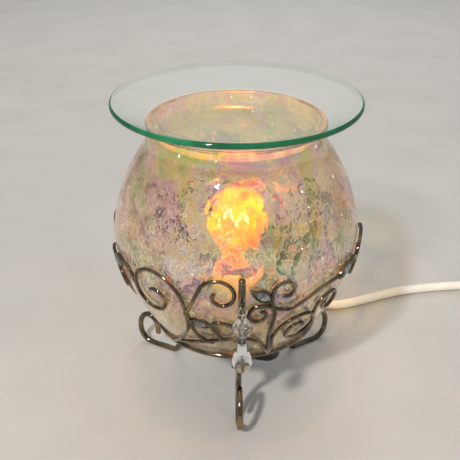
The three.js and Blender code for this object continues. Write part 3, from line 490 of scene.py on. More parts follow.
def film(tree, place, bent):
    """The lustre's tint and thickness in nanometres: pastel shards, and nearly plain glass at the foot."""
    cells = {"Vector": bent, "Scale": per_mm(SHARD), "W": SHARD_THROW}
    shard = add(tree, VORONOI, cells, voronoi_dimensions="4D").outputs["Color"]
    chip = add(tree, VORONOI, {"Vector": bent, "Scale": per_mm(CHIP)}).outputs["Color"]
    shard_tone = add(tree, "ShaderNodeSeparateColor", {"Color": shard}).outputs["Red"]
    chip_tone = add(tree, "ShaderNodeSeparateColor", {"Color": chip}).outputs["Green"]
    tone = add(tree, MATH, {0: chip_tone, 1: 0.2, 2: shard_tone}, operation="MULTIPLY_ADD")
    pastels = [
        (0.06, "#deb2b8"), (0.2, "#e08f92"), (0.36, "#eadcb8"), (0.52, "#f0cb56"), (0.68, "#9ec676"),
        (0.84, "#e49aa2"), (1.0, "#f2d97c"),
    ]
    pastel = add(tree, COLOUR_RAMP, {"Fac": tone}, pastels)
    lustred = by_height(tree, place, low=74, high=122, start=0.04, end=1.0)
    # A mix of colours takes them at its inputs 6 and 7, and gives the result at its output 2
    from_plain = {"Factor": lustred, 6: linear("#e4decf"), 7: pastel}
    tint = add(tree, "ShaderNodeMix", from_plain, data_type="RGBA").outputs[2]
    step = add(tree, MATH, {0: tone, 1: lustred}, operation="MULTIPLY")
    return tint, add(tree, MATH, {0: step, 1: 190.0, 2: 225.0}, operation="MULTIPLY_ADD")


def splinters(tree, drawn, bent, crazed, chip_edge):
    """Flat splinters, each leaning its own way to show its own piece of what is behind, with soft chips."""
    splinter = add(tree, VORONOI, {"Vector": bent, "Scale": per_mm(SPLINTER)})
    draw = splinter.outputs["Color"]
    middle = splinter.outputs["Position"]
    lean = add(tree, VECTOR_MATH, {0: draw, 1: (0.5, 0.5, 0.5)}, operation="SUBTRACT")
    off_middle = add(tree, VECTOR_MATH, {0: drawn, 1: middle}, operation="SUBTRACT")
    plane = add(tree, VECTOR_MATH, {0: off_middle, 1: lean}, operation="DOT_PRODUCT")
    leaning = add(tree, MATH, {0: plane.outputs["Value"], 1: crazed}, operation="MULTIPLY")
    # The leaning is in metres already, so this distance is the share of it that is used
    facet = add(tree, BUMP, {"Height": leaning, "Strength": 1.0, "Distance": 0.24})
    pillow = add(tree, MATH, {0: chip_edge, 1: crazed}, operation="MULTIPLY")
    chips = {"Height": pillow, "Strength": 0.09, "Distance": 1.2 * MM, "Normal": facet}
    return add(tree, BUMP, chips)


def painted_seed_glints(tree, bent):
    """Seeds, painted as glowing dots where they would catch the lamp's light; real ones are smaller than a
    dot of the picture, so these are larger.
    """
    seed = add(tree, VORONOI, {"Vector": bent, "Scale": per_mm(SEED)})
    ball = {"Value": seed, "From Min": 0.06, "From Max": 0.12, "To Min": 1.0, "To Max": 0.0}
    dot = add(tree, MAP_RANGE, ball)
    draw = add(tree, "ShaderNodeSeparateColor", {"Color": seed.outputs["Color"]}).outputs["Blue"]
    few = add(tree, MAP_RANGE, {"Value": draw, "From Min": 0.55, "From Max": 0.9})
    return add(tree, MATH, {0: dot, 1: few}, operation="MULTIPLY")


def crackle_glass():
    """Crackle glass, plunged hot into water and lustred: a net of whitish cracks, shards of pastel film."""
    material, tree, place = new_material("lustred_crackle_glass")
    # Blowing the globe draws its pattern out upwards and bends its lines
    drawn = add(tree, VECTOR_MATH, {0: place, 1: (1.0, 1.0, 0.62)}, operation="MULTIPLY")
    bend = add(tree, NOISE, {"Vector": drawn, "Scale": per_mm(8), "Detail": 4})
    shift = {0: bend.outputs["Color"], 1: (5 * MM, 5 * MM, 5 * MM), 2: drawn}
    bent = add(tree, VECTOR_MATH, shift, operation="MULTIPLY_ADD")
    chips = {"Vector": bent, "Scale": per_mm(CHIP)}
    chip_edge = add(tree, VORONOI, chips, feature="DISTANCE_TO_EDGE")
    crazed = crazing(tree, place)
    net = crack_net(tree, drawn, bend, bent, chip_edge)
    crack = add(tree, MATH, {0: net, 1: crazed}, operation="MULTIPLY")
    tint, film_nm = film(tree, place, bent)
    bump = splinters(tree, drawn, bent, crazed, chip_edge)
    # Painted glints: the seeds glow as if they caught the lamp's light
    seed_glint = painted_seed_glints(tree, bent)
    whole_skin = {
        "Base Color": tint, "Roughness": 0.015, "IOR": 1.5, "Transmission Weight": 1.0,
        "Thin Film Thickness": film_nm, "Thin Film IOR": 2.1, "Normal": bump,
    }
    broken_skin = {
        "Base Color": linear("#e9e0cf"), "Roughness": 0.3, "IOR": 1.5, "Normal": bump,
        "Emission Color": linear("#fff2da"), "Emission Strength": seed_glint,
    }
    whole = add(tree, PRINCIPLED, whole_skin)
    broken = add(tree, PRINCIPLED, broken_skin)
    edge_on = add(tree, "ShaderNodeLayerWeight", {"Blend": 0.3}).outputs["Facing"]
    haze = add(tree, MATH, {0: edge_on, 1: 0.24, 2: 0.01}, operation="MULTIPLY_ADD")
    hazed = {0: crack, 1: 0.45, 2: haze}
    cover = add(tree, MATH, hazed, operation="MULTIPLY_ADD", use_clamp=True)
    dense = add(tree, MATH, {0: cover, 1: seed_glint}, operation="MAXIMUM")
    wall = add(tree, MIX_SHADER, {"Fac": dense, 1: whole, 2: broken})
    add(tree, OUTPUT, {"Surface": lamplight_passes(tree, wall, tint)})
    return material


def globe_lining():
    """The globe's inner skin, blown smooth: clear and colourless."""
    material, tree, place = new_material("clear_globe_lining")
    ripple, tint = drifting(tree, place, [(0.3, "#fbf9f6"), (0.7, "#f2f2ee")], size=6, detail=2)
    bump = add(tree, BUMP, {"Height": ripple, "Strength": 0.12, "Distance": 0.6 * MM})
    skin = {"Base Color": tint, "Roughness": 0.02, "IOR": 1.5, "Transmission Weight": 1.0, "Normal": bump}
    glass = add(tree, PRINCIPLED, skin)
    add(tree, OUTPUT, {"Surface": lamplight_passes(tree, glass, tint)})
    return material


def lit_bulb_glass():
    """Thin blown bulb glass around a burning filament: see-through amber, brightest towards the top."""
    material, tree, place = new_material("lit_bulb_glass")
    _, amber = drifting(tree, place, [(0.38, "#ff7c10"), (0.62, "#ffc232")], size=9, detail=2)
    glow = by_height(tree, place, low=78, high=100, start=0.4, end=0.88)
    skin = {
        "Base Color": amber, "Roughness": 0.08, "IOR": 1.5, "Alpha": 0.4, "Emission Color": amber,
        "Emission Strength": glow,
    }
    add(tree, OUTPUT, {"Surface": add(tree, PRINCIPLED, skin)})
    return material


def glowing_tungsten():
    """Tungsten wire: white hot along its zigzag, dull grey on the leads."""
    material, tree, place = new_material("glowing_tungsten")
    heat = by_height(tree, place, low=98.5, high=101.5, start=0.0, end=9.0)
    _, white_heat = drifting(tree, place, [(0.3, "#ffe2a0"), (0.7, "#fff4d2")], size=2, detail=2)
    skin = {
        "Base Color": linear("#8a8478"), "Metallic": 1.0, "Roughness": 0.5, "Emission Color": white_heat,
        "Emission Strength": heat,
    }
    add(tree, OUTPUT, {"Surface": add(tree, PRINCIPLED, skin)})
    return material


def black_nickel():
    """Steel plated in black nickel and buffed: a dark, warm mirror, with random gold patches that are partly
    wear on the rubs and partly painted warm reflections.
    """
    material, tree, place = new_material("black_nickel_plating")
    # Gold patches at random: partly wear, partly painted reflections of warm light
    wear_and_painted_glints = [(0.34, "#574f46"), (0.54, "#7c7262"), (0.72, "#b3986a")]
    _, colour = drifting(tree, place, wear_and_painted_glints, size=9, detail=4)
    # Real buffing marks are finer than this, but would be lost at the picture's size
    grain = add(tree, NOISE, {"Vector": place, "Scale": per_mm(1.4), "Detail": 3})
    buffed = {"Value": grain, "From Min": 0.3, "From Max": 0.7, "To Min": 0.05, "To Max": 0.14}
    polish = add(tree, MAP_RANGE, buffed)
    bump = add(tree, BUMP, {"Height": grain, "Strength": 0.18, "Distance": 0.15 * MM})
    skin = {"Base Color": colour, "Metallic": 1.0, "Roughness": polish, "Normal": bump}
    add(tree, OUTPUT, {"Surface": add(tree, PRINCIPLED, skin)})
    return material


def plain_metal(name, low, high, roughness):
    """Turned or pressed metal: a soft, even shine with tool marks, drawn coarser than real ones to show."""
    material, tree, place = new_material(name)
    marks, colour = drifting(tree, place, [(0.35, low), (0.65, high)], size=1.6, detail=3)
    bump = add(tree, BUMP, {"Height": marks, "Strength": 0.15, "Distance": 0.1 * MM})
    skin = {"Base Color": colour, "Metallic": 1.0, "Roughness": roughness, "Normal": bump}
    add(tree, OUTPUT, {"Surface": add(tree, PRINCIPLED, skin)})
    return material


def plain_plastic(name, low, high, roughness, grain_mm, depth):
    """Moulded plastic: an even colour with slight flow marks, and a mould grain coarse enough to show."""
    material, tree, place = new_material(name)
    _, colour = drifting(tree, place, [(0.35, low), (0.65, high)], size=14, detail=2)
    grain = add(tree, NOISE, {"Vector": place, "Scale": per_mm(grain_mm), "Detail": 2})
    bump = add(tree, BUMP, {"Height": grain, "Strength": depth, "Distance": 0.12 * MM})
    skin = {"Base Color": colour, "Roughness": roughness, "IOR": 1.49, "Normal": bump}
    add(tree, OUTPUT, {"Surface": add(tree, PRINCIPLED, skin)})
    return material


def ivory_plastic_painted_glow_shade():
    """Thin ivory plastic below the lit bulb: smooth and waxy, darker than its own ivory for painted shade,
    with a painted amber glow towards its mouth.
    """
    material, tree, place = new_material("ivory_plastic_painted_glow_shade")
    # A darker ivory than the plastic's own: painted shade of the globe round it
    flow, colour = drifting(tree, place, [(0.35, "#a39378"), (0.65, "#b3a48a")], size=14, detail=2)
    # A painted amber glow towards the mouth stands in for the bulb's light
    amber = add(tree, COLOUR_RAMP, {"Fac": flow}, [(0.3, "#ff7414"), (0.7, "#ff8c30")])
    glow = by_height(tree, place, low=59, high=73.5, start=0.0, end=1.2)
    skin = {
        "Base Color": colour, "Roughness": 0.4, "IOR": 1.49, "Emission Color": amber,
        "Emission Strength": glow,
    }
    add(tree, OUTPUT, {"Surface": add(tree, PRINCIPLED, skin)})
    return material


def lead_crystal():
    """Cut lead crystal: clear and very bright, with sharp facets."""
    material, tree, place = new_material("lead_crystal")
    _, colour = drifting(tree, place, [(0.3, "#ffffff"), (0.7, "#eef3f8")], size=5, detail=1)
    skin = {"Base Color": colour, "Roughness": 0.0, "IOR": 1.6, "Transmission Weight": 1.0}
    add(tree, OUTPUT, {"Surface": add(tree, PRINCIPLED, skin)})
    return material


def smoked_glass():
    """Smoked glass, cut and polished: dark grey with a slight mist inside, bright only where facets shine."""
    material, tree, place = new_material("smoked_glass_stone")
    misty = [(0.32, "#2f302f"), (0.52, "#5a5b59"), (0.7, "#94948f")]
    _, colour = drifting(tree, place, misty, size=3.5, detail=3)
    skin = {"Base Color": colour, "Roughness": 0.06, "IOR": 1.6, "Coat Weight": 0.5, "Coat Roughness": 0.02}
    add(tree, OUTPUT, {"Surface": add(tree, PRINCIPLED, skin)})
    return material


def trowelled_plaster():
    """Pale trowelled plaster: matt, with a faint mottle."""
    material, tree, place = new_material("pale_plaster_floor")
    _, colour = drifting(tree, place, [(0.3, "#b8b6b1"), (0.7, "#bfbdb8")], size=60, detail=4)
    add(tree, OUTPUT, {"Surface": add(tree, PRINCIPLED, {"Base Color": colour, "Roughness": 0.8})})
    return material


SODA_GLASS = soda_glass("soda_glass")
GLASS_PAINTED_GLOW = soda_glass("soda_glass_painted_lamp_glow", lamplight=0.3)
GLASS_EDGE = glass_edge()
CRACKLE = crackle_glass()
LINING = globe_lining()
BULB = lit_bulb_glass()
TUNGSTEN = glowing_tungsten()
PLATING = black_nickel()
NICKEL = plain_metal("nickel_plate", "#a8a49b", "#cfcbc2", roughness=0.22)
BRASS = plain_metal("turned_brass", "#a07c3a", "#c9a45a", roughness=0.28)
SLEEVE = ivory_plastic_painted_glow_shade()
WHITE_ABS = plain_plastic("white_abs", "#ece6d9", "#f6f2e8", roughness=0.38, grain_mm=0.8, depth=0.25)
PVC = plain_plastic("white_pvc", "#e6dfd0", "#f1ebdf", roughness=0.42, grain_mm=1.2, depth=0.2)
BLACK_ABS = plain_plastic("black_abs", "#0e0e0e", "#191919", roughness=0.45, grain_mm=0.7, depth=0.4)
CRYSTAL = lead_crystal()
STONE = smoked_glass()


# Camera

camera = placed("camera", bpy.data.cameras.new("camera"))
camera.data.sensor_width = 36
camera.data.lens = camera.data.sensor_width * FOCAL_PX / PHOTO_PX
camera.data.clip_start = 10 * MM
camera.location = (CAMERA_PLACE + AXIS) * MM
camera.rotation_euler = (math.radians(90 + CAMERA_PITCH), 0, math.radians(CAMERA_HEADING))
bpy.context.scene.camera = camera


# Cord: from the strain relief to the switch, and from the switch round the coil to the plug

CORD_ROUTE = [
    (13.5, 42.2, 27), (15.6, 47.9, 27), (18.2, 54.2, 26.6), (22.2, 60.5, 25.1), (27.6, 65.4, 22.2),
    (34.4, 68.4, 17.9), (42.2, 69.4, 12.6), (50.6, 68.8, 7.7), (59.5, 67.7, 4.4), (69, 67.4, 3.2),
    (79, 69.3, 3.1), (89, 72.8, 3.1), (98.6, 76.6, 3.1), (108.4, 80.2, 3.1), (119, 83.4, 3.1),
    (133, 86, 3.1), (150, 88, 3.1), (168, 89.4, 3.1), (186, 90.3, 3.1), (204, 90.6, 3.1),
    (215, 90.1, 3.1), (226, 87.2, 3.2), (235.6, 82.1, 3.6), (243, 74.6, 4.4), (247.4, 65.6, 5.3),
    (249, 57.4, 5.9), (249, 50.3, 6),
]


def coil_route():
    """Inwards on the floor, up a layer, outwards again, and on to the plug."""
    start = SWITCH_PLACE.y - SWITCH_LENGTH / 2 - GAP
    x = COIL_PLACE.x + COIL_R
    run = start - COIL_PLACE.y
    points = [
        Vector((x, start, CORD_SWITCH_Z)),
        Vector((x, start - CORD, CORD_SWITCH_Z)),
        Vector((x, COIL_PLACE.y + run / 2, lerp(CORD_SWITCH_Z, COIL_Z, 0.6))),
        Vector((x, COIL_PLACE.y + run / 5, COIL_Z)),
    ]
    turns = 2 * COIL_LAYER_TURNS + COIL_CLIMB_TURNS
    count = round(turns * LOOP_STEPS)
    for k in range(count + 1):
        turn = turns * k / count
        upper = turn - COIL_LAYER_TURNS - COIL_CLIMB_TURNS
        inward = min(turn, COIL_LAYER_TURNS) - max(upper, 0)
        climb = smooth((turn - COIL_LAYER_TURNS) / COIL_CLIMB_TURNS)
        z = COIL_Z + climb * COIL_PITCH
        points.append(COIL_PLACE + polar(COIL_R - COIL_PITCH * inward, -360 * turn, z))
    end_y = COIL_PLACE.y - COIL_R
    plug_end = PLUG_FACE_X + PLUG_LENGTH + PLUG_NECK + GAP
    points.append(Vector(((COIL_PLACE.x + plug_end) / 2, end_y, (COIL_Z + COIL_PITCH + PLUG_Z) / 2)))
    points.append(Vector((plug_end + CORD, end_y, PLUG_Z)))
    points.append(Vector((plug_end, end_y, PLUG_Z)))
    return points


def cord_curve(name, path):
    """A round cord along a path."""
    data = bpy.data.curves.new(name, "CURVE")
    data.dimensions = "3D"
    data.bevel_depth = CORD / 2 * MM
    data.bevel_resolution = 5
    data.use_fill_caps = True
    spline = data.splines.new("POLY")
    spline.points.add(len(path) - 1)
    for point, place in zip(spline.points, path):
        point.co = (*(place * MM), 1)
    spline.use_smooth = True
    data.materials.append(PVC)
    return stand_in(name, data, "stand")


def switch_shells():
    """Two moulded halves with eased edges; the upper one has a window for the rocker."""
    top = SWITCH_HEIGHT
    seam = SWITCH_HEIGHT / 2 - 0.5
    place = Matrix.Translation(SWITCH_PLACE) @ Matrix.Rotation(-math.pi / 2, 4, "Z")

    def level(inset, z):
        return rounded_outline(SWITCH_LENGTH - 2 * inset, SWITCH_WIDTH - 2 * inset, SWITCH_CORNER - inset, z)

    def window(grow, z):
        length, width, corner = ROCKER_LENGTH + 5 * GAP, ROCKER_WIDTH + 2 * GAP, 0.5
        return rounded_outline(length + grow, width + grow, corner + grow / 2, z)

    # Steps up the outside, and down the window: how far in or how much larger, and how high
    lower = [(1.6, GAP), (0.6, 0.7), (0, 1.9), (0, seam - 0.35), (0.3, seam - GAP / 2)]
    upper = [
        (0.3, seam + GAP / 2), (0, seam + 0.4), (0, top - 3), (0.7, top - 1.1), (2.2, top - 0.2), (3.4, top),
    ]
    pocket = [(1.2, top), (0.3, top - 0.3), (0, top - 0.9), (0, top - 4)]
    halves = {
        "switch_lower_shell": [level(*step) for step in lower],
        "switch_upper_shell": [level(*step) for step in upper] + [window(*step) for step in pocket],
    }
    return [
        piece(name, moved(loft(rings), place), "stand", WHITE_ABS, about_axis=False)
        for name, rings in halves.items()
    ]


def plug_body():
    """A moulded plug with finger grips and a ribbed neck, along +X from its face."""
    along_x = Matrix(((0, 0, 1, 0), (1, 0, 0, 0), (0, 1, 0, 0), (0, 0, 0, 1)))
    place = Matrix.Translation((PLUG_FACE_X, COIL_PLACE.y - COIL_R, PLUG_Z)) @ along_x
    corner, most_inset = 4, 2.4
    grip_from, grip_length, grip_depth, grip_steps = 6, 14, 1.5, 8
    # Steps along the plug: how far in, and how far from its face
    levels = [(1.2, 0), (0.3, 0.4), (0, 1.4), (0, 5)]
    for k in range(grip_steps + 1):
        share = k / grip_steps
        levels.append((grip_depth * math.sin(math.pi * share) ** 2, grip_from + grip_length * share))
    levels += [(0, 22), (1, 24), (3.2, PLUG_LENGTH)]
    rings = [
        rounded_outline(PLUG_WIDTH - 2 * inset, PLUG_HEIGHT - 2 * min(inset, most_inset), corner, z)
        for inset, z in levels
    ]
    ribs, root_r, tip_r, groove = 4, 5.6, CORD / 2 + 1, 0.7
    pitch = PLUG_NECK / ribs
    count = len(rings[0])
    # The neck's rings start about where the outline's do, so that the skin between them isn't twisted
    start = -7
    turns = [360 * (k + 0.5) / count + start for k in range(count)]
    for k in range(ribs):
        z = PLUG_LENGTH + pitch * k
        r = lerp(root_r, tip_r, k / ribs)
        for radius, rise in ((r, 0.05), (r, 0.55), (r - groove, 0.65), (r - groove, 0.95)):
            rings.append([polar(radius, turn, z + rise * pitch) for turn in turns])
    return piece("plug_body", moved(loft(rings), place), "stand", PVC, about_axis=False)


def cord_tie():
    """A strip of hook-and-loop band round the bundle of turns."""
    inner = COIL_R - COIL_PITCH * COIL_LAYER_TURNS - CORD / 2 - 2 * GAP
    outer = COIL_R + CORD / 2 - COIL_PITCH / 2 + 2 * GAP
    height = CORD + COIL_PITCH + 2 * GAP
    corner = 1.8
    half = TIE_WIDTH / 2
    rings = []
    for grow, y in ((0, -half), (TIE_STRIP, -half), (TIE_STRIP, half), (0, half)):
        outline = rounded_outline(outer - inner + 2 * grow, height + 2 * grow, corner + grow, 0)
        rings.append([Vector((p.x, y, p.y)) for p in outline])
    place = Vector((COIL_PLACE.x - (inner + outer) / 2, COIL_PLACE.y, COIL_Z + COIL_PITCH / 2))
    mesh = moved(loft(rings, loop=True), Matrix.Translation(place))
    return piece("cord_tie", mesh, "stand", BLACK_ABS, about_axis=False)


lead_path = through(CORD_ROUTE, step=2.5)
coil_path = through(coil_route(), step=3)
lead = cord_curve("cord_lead", lead_path)
coil = cord_curve("cord_coil", coil_path)
shells = switch_shells()
plug = plug_body()
tie = cord_tie()
dress(WHITE_ABS, "switch_rocker")
dress(BRASS, "plug_blade_front", "plug_blade_back")


# Glass


def globe_radius(z):
    rise = abs(z - BELLY_Z) / (CROWN_RISE if z > BELLY_Z else FOOT_DROP)
    return BELLY_R * (1 - rise**FULLNESS) ** (1 / FULLNESS)


def basket_radius(z):
    """The globe's radius, and above the belly the belly's own, so that the globe lifts out."""
    return globe_radius(min(z, BELLY_Z))


def glass_globe():
    """A blown globe, open at the foot, with a short straight neck; cracks are in its outer skin only."""
    steps = 44
    heights = [lerp(GLOBE_FOOT_Z, SHOULDER_Z, k / steps) for k in range(steps + 1)]
    outer = [(globe_radius(z), z) for z in heights]
    inner = [(r - GLOBE_WALL, z) for r, z in outer][::-1]
    bore = NECK_R - GLOBE_WALL
    collar = SHOULDER_Z + (NECK_TOP_Z - SHOULDER_Z) / 3
    flare, flare_z = 0.4, lerp(SHOULDER_Z, collar, 0.6)
    ease = GLOBE_WALL / 4
    lip = [
        (NECK_R + flare, flare_z), (NECK_R, collar), (NECK_R, NECK_TOP_Z - ease), (NECK_R - ease, NECK_TOP_Z),
        (bore + ease, NECK_TOP_Z), (bore, NECK_TOP_Z - ease), (bore, collar), (bore + flare, flare_z),
    ]
    mesh = turned([*outer, *lip, *inner], segments=128, loop=True)
    globe = piece("glass_globe", mesh, "globe", CRACKLE)
    paint(globe, LINING, lambda face: from_axis(face).dot(face.normal.to_2d()) < 0)


def glass_dish():
    """A pressed dish: a bowl that hangs in the globe's neck, and a wide flange with a round green edge."""
    base = RIM_Z - DISH_GLASS - DISH_DEPTH
    seat = NECK_TOP_Z + GAP
    flange = RIM_Z - DISH_GLASS
    wall = NECK_R - GLOBE_WALL - GAP
    bend = NECK_R - GLOBE_WALL - DISH_GLASS
    edge_r = DISH_GLASS / 2
    flare_r, flare_z = lerp(NECK_R, RIM_R, 0.6), lerp(seat, flange, 0.6)
    underside = [
        (0, base), (DISH_FLOOR_R * 0.6, base), (DISH_FLOOR_R, base + 0.1),
        (lerp(DISH_FLOOR_R, wall, 0.5), lerp(base, seat, 0.17)),
        (lerp(DISH_FLOOR_R, wall, 0.8), lerp(base, seat, 0.46)),
        (lerp(DISH_FLOOR_R, wall, 0.95), lerp(base, seat, 0.75)),
        (wall - 0.1, seat - GAP), (NECK_R - 1, seat + 0.4), (NECK_R + 1.5, seat + 0.9), (flare_r, flare_z),
        (RIM_R - 2, flange - 0.3),
    ]
    edge = arc(RIM_R - edge_r, RIM_Z - edge_r, edge_r, range(-75, 90, 15))
    top = [
        (RIM_R - 2, RIM_Z - 0.3), (flare_r - 1, flare_z + DISH_GLASS), (NECK_R, seat + 0.9 + DISH_GLASS),
        (bend + 1.2, seat + DISH_GLASS - 0.5), (bend - 1, lerp(base, seat, 0.85)),
        (lerp(DISH_FLOOR_R, bend, 0.7) - 1, lerp(base, seat, 0.3) + DISH_GLASS),
        (DISH_FLOOR_R - 1, base + DISH_GLASS + 0.1), (DISH_FLOOR_R * 0.6, base + DISH_GLASS),
        (0, base + DISH_GLASS),
    ]
    mesh = turned([*rounded(underside), *edge, *rounded(top)], segments=128)
    dish = piece("glass_dish", mesh, "dish", SODA_GLASS)
    lit_from = lerp(base, seat, 0.5) * MM

    def over_the_bulb(face):
        return face.center.z > lit_from and from_axis(face).length < NECK_R - 1 and face.normal.z < 0

    def on_the_edge(face):
        return from_axis(face).length > RIM_R - 0.8 * edge_r and face.normal.z < 0.95

    # The bowl wall over the bulb gets the painted amber glow
    paint(dish, GLASS_PAINTED_GLOW, over_the_bulb)
    paint(dish, GLASS_EDGE, on_the_edge)


# Bulb and lampholder


def bulb_glass():
    """A thin blown pear with its neck in the cap."""
    neck = CAP_R - THREAD_DEPTH - CAP_WALL - GAP
    side = [
        (neck, CAP_TOP_Z - BULB_NECK_DEPTH), (neck, CAP_TOP_Z + GAP), (CAP_R - THREAD_DEPTH, CAP_TOP_Z + 2),
        (0.71 * BULB_R, lerp(CAP_TOP_Z, BULB_Z, 0.34)), (0.91 * BULB_R, lerp(CAP_TOP_Z, BULB_Z, 0.66)),
    ]
    wall = rounded([*side, *arc(0, BULB_Z, BULB_R, range(0, 90, 9))])
    lining = [(r - BULB_WALL, z) for r, z in wall if r > BULB_WALL][::-1]
    top = BULB_Z + BULB_R
    mesh = turned([(0, top - BULB_WALL), *lining, *wall, (0, top)], segments=64)
    piece("bulb_glass", mesh, "bulb", BULB)


def bulb_screw_cap():
    """A rolled cap with rings for its thread."""
    plain, lead_in, ridge_steps = 4, 1, 8
    pitch = (CAP_TOP_Z - CAP_BOTTOM_Z - plain) / THREADS
    bore = CAP_R - THREAD_DEPTH - CAP_WALL
    ridges = []
    for k in range(THREADS * ridge_steps + 1):
        dip = THREAD_DEPTH * (1 + math.cos(TURN * k / ridge_steps)) / 2
        ridges.append((CAP_R - dip, CAP_BOTTOM_Z + lead_in + pitch * k / ridge_steps))
    foot = (CAP_R - 2 * THREAD_DEPTH, CAP_BOTTOM_Z)
    profile = [(bore, CAP_BOTTOM_Z), foot, *ridges, (CAP_R, CAP_TOP_Z), (bore, CAP_TOP_Z)]
    piece("bulb_screw_cap", turned(profile, segments=48, loop=True), "bulb", NICKEL)


def bulb_filament():
    """A lead, a zigzag and a lead."""
    bends = 4
    half = FILAMENT_SPAN / 2
    foot = STEM_TOP_Z + GAP + FILAMENT_WIRE
    route = [Vector((-STEM_R / 2, 0, foot))]
    for k in range(bends + 1):
        z = FILAMENT_Z + (FILAMENT_RISE if k % 2 else 0)
        route.append(Vector((lerp(-half, half, k / bends), 0, z)))
    route.append(Vector((STEM_R / 2, 0, foot)))
    wire = rod(through(route, step=0.6), FILAMENT_WIRE / 2, sides=8)
    piece("bulb_filament", wire, "bulb", TUNGSTEN)


def candle_sleeve():
    """A plain tube with an eased mouth."""
    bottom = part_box("candle_sleeve")[0].z / MM
    inner = SLEEVE_R - SLEEVE_WALL
    ease = SLEEVE_WALL / 3
    profile = [
        (inner, bottom), (SLEEVE_R, bottom), (SLEEVE_R, SLEEVE_TOP_Z - ease), (SLEEVE_R - ease, SLEEVE_TOP_Z),
        (inner + ease, SLEEVE_TOP_Z), (inner, SLEEVE_TOP_Z - ease),
    ]
    piece("candle_sleeve", turned(profile, segments=64, loop=True), "stand", SLEEVE)


def wiring_cover():
    """A moulded cap, round with one lobe, open at the top."""
    facing = math.degrees(math.atan2(COVER_LOBE.y, COVER_LOBE.x))
    tangent = math.degrees(math.acos((COVER_R - COVER_LOBE_R) / COVER_LOBE.length))
    big_steps, small_steps = 31, 15

    def level(inset, z):
        big = [lerp(facing + tangent, facing - tangent + 360, k / big_steps) for k in range(big_steps + 1)]
        small = [lerp(facing - tangent, facing + tangent, k / small_steps) for k in range(small_steps + 1)]
        ring = [polar(COVER_R - inset, turn, z) for turn in big]
        return ring + [polar(COVER_LOBE_R - inset, turn, z) + COVER_LOBE.to_3d() for turn in small]

    # Steps up the outside and down the inside: how far in, and how high
    levels = [
        (2.2, COVER_BOTTOM_Z), (0.9, COVER_BOTTOM_Z + 0.3), (0.2, COVER_BOTTOM_Z + 1.1),
        (0, COVER_BOTTOM_Z + 2.2), (0, COVER_TOP_Z), (COVER_WALL, COVER_TOP_Z),
        (COVER_WALL, COVER_BOTTOM_Z + COVER_WALL),
    ]
    piece("wiring_cover", loft([level(*step) for step in levels]), "stand", BLACK_ABS)


def strain_relief():
    """A tapered sleeve with ribs, lying level."""
    ribs, tip_r, ease, groove = 4, CORD / 2 + 1, 0.25, 0.9
    pitch = RELIEF_LENGTH / (ribs + 1)
    profile = [(0, 0)]
    for k in range(ribs + 1):
        r = lerp(RELIEF_ROOT_R, tip_r, k / ribs)
        z = k * pitch
        profile += [(r - ease, z), (r, z + 0.3), (r, z + 0.55 * pitch), (r - ease, z + 0.6 * pitch)]
        if k < ribs:
            profile += [(r - groove, z + 0.66 * pitch), (r - groove, z + 0.97 * pitch)]
    profile += [(tip_r - 0.2, RELIEF_LENGTH), (0, RELIEF_LENGTH)]
    outward = Matrix.Rotation(math.radians(RELIEF_AZIMUTH), 4, "Z") @ Matrix.Rotation(math.pi / 2, 4, "Y")
    place = Matrix.Translation(polar(COVER_R + GAP, RELIEF_AZIMUTH, RELIEF_Z)) @ outward
    piece("strain_relief", moved(turned(profile, segments=40), place), "stand", BLACK_ABS)


# Basket, in a frame whose +X axis points at a leg


def post_radius(z):
    down = smooth((HOOP_Z + POST_BLEND - z) / POST_BLEND)
    return basket_radius(z) + GAP + LEG_ROD / 2 + down * (HOOP_ROD + GAP)


CRYSTAL_R = post_radius(BEAD_Z) + LEG_ROD / 2 + GAP + BEAD_R


def leg_path(bend):
    """Down the globe, in to the heel, out along the floor and round the scroll, which may be bent up."""
    post_steps = 8
    heights = [lerp(POST_TOP_Z, HOOP_Z, k / post_steps) for k in range(post_steps + 1)]
    post = post_radius(HOOP_Z)
    sole = Vector((SOLE_R, 0, LEG_ROD / 2 - FOOT_FLAT))
    points = [Vector((post_radius(z), 0, z)) for z in heights]
    points += [
        Vector((lerp(post, HEEL_R, 0.3), 0, 0.8 * HOOP_Z)),
        Vector((lerp(post, HEEL_R, 0.85), 0, 0.55 * HOOP_Z)),
        Vector((HEEL_R, 0, 0.3 * HOOP_Z)),
        Vector((lerp(HEEL_R, SOLE_R, 0.2), 0, 1.7 * LEG_ROD)),
        Vector((lerp(HEEL_R, SOLE_R, 0.55), 0, sole.z)),
        sole,
    ]
    middle = Vector((TOE_R - CURL_WIDTH / 2, 0, sole.z + CURL_HEIGHT / 2))
    upward = Matrix.Rotation(math.radians(-bend), 4, "Y")
    curl_from, curl_turn, curl_step = -90, 285, 35
    for turn in range(0, curl_turn + 1, curl_step):
        share = lerp(1, CURL_CLOSING, turn / curl_turn) / 2
        angle = math.radians(curl_from + turn)
        curl = Vector((share * CURL_WIDTH * math.cos(angle), 0, share * CURL_HEIGHT * math.sin(angle)))
        points.append(upward @ (middle + curl - sole) + sole)
    return points


def leg(bend):
    """Post, leg and scroll foot of one rod, flat where it stands, with a welded eye for the crystals."""
    points, faces = rod(through(leg_path(bend), step=1.4), LEG_ROD / 2, sides=14)
    standing = [Vector((p.x, p.y, max(p.z, 0))) for p in points]
    upright = Matrix.Translation((CRYSTAL_R, 0, EYE_Z)) @ Matrix.Rotation(math.pi / 2, 4, "X")
    eye = moved(torus(EYE_R, EYE_WIRE / 2), upright)
    weld = solder(Vector((CRYSTAL_R - EYE_R, 0, EYE_Z)), WELD_R)
    return join((standing, faces), eye, weld)


def on_globe(degrees, height, away):
    """A place round from a leg, above the hoop and away from the glass."""
    z = HOOP_Z + height
    return polar(basket_radius(z) + away, degrees, z)


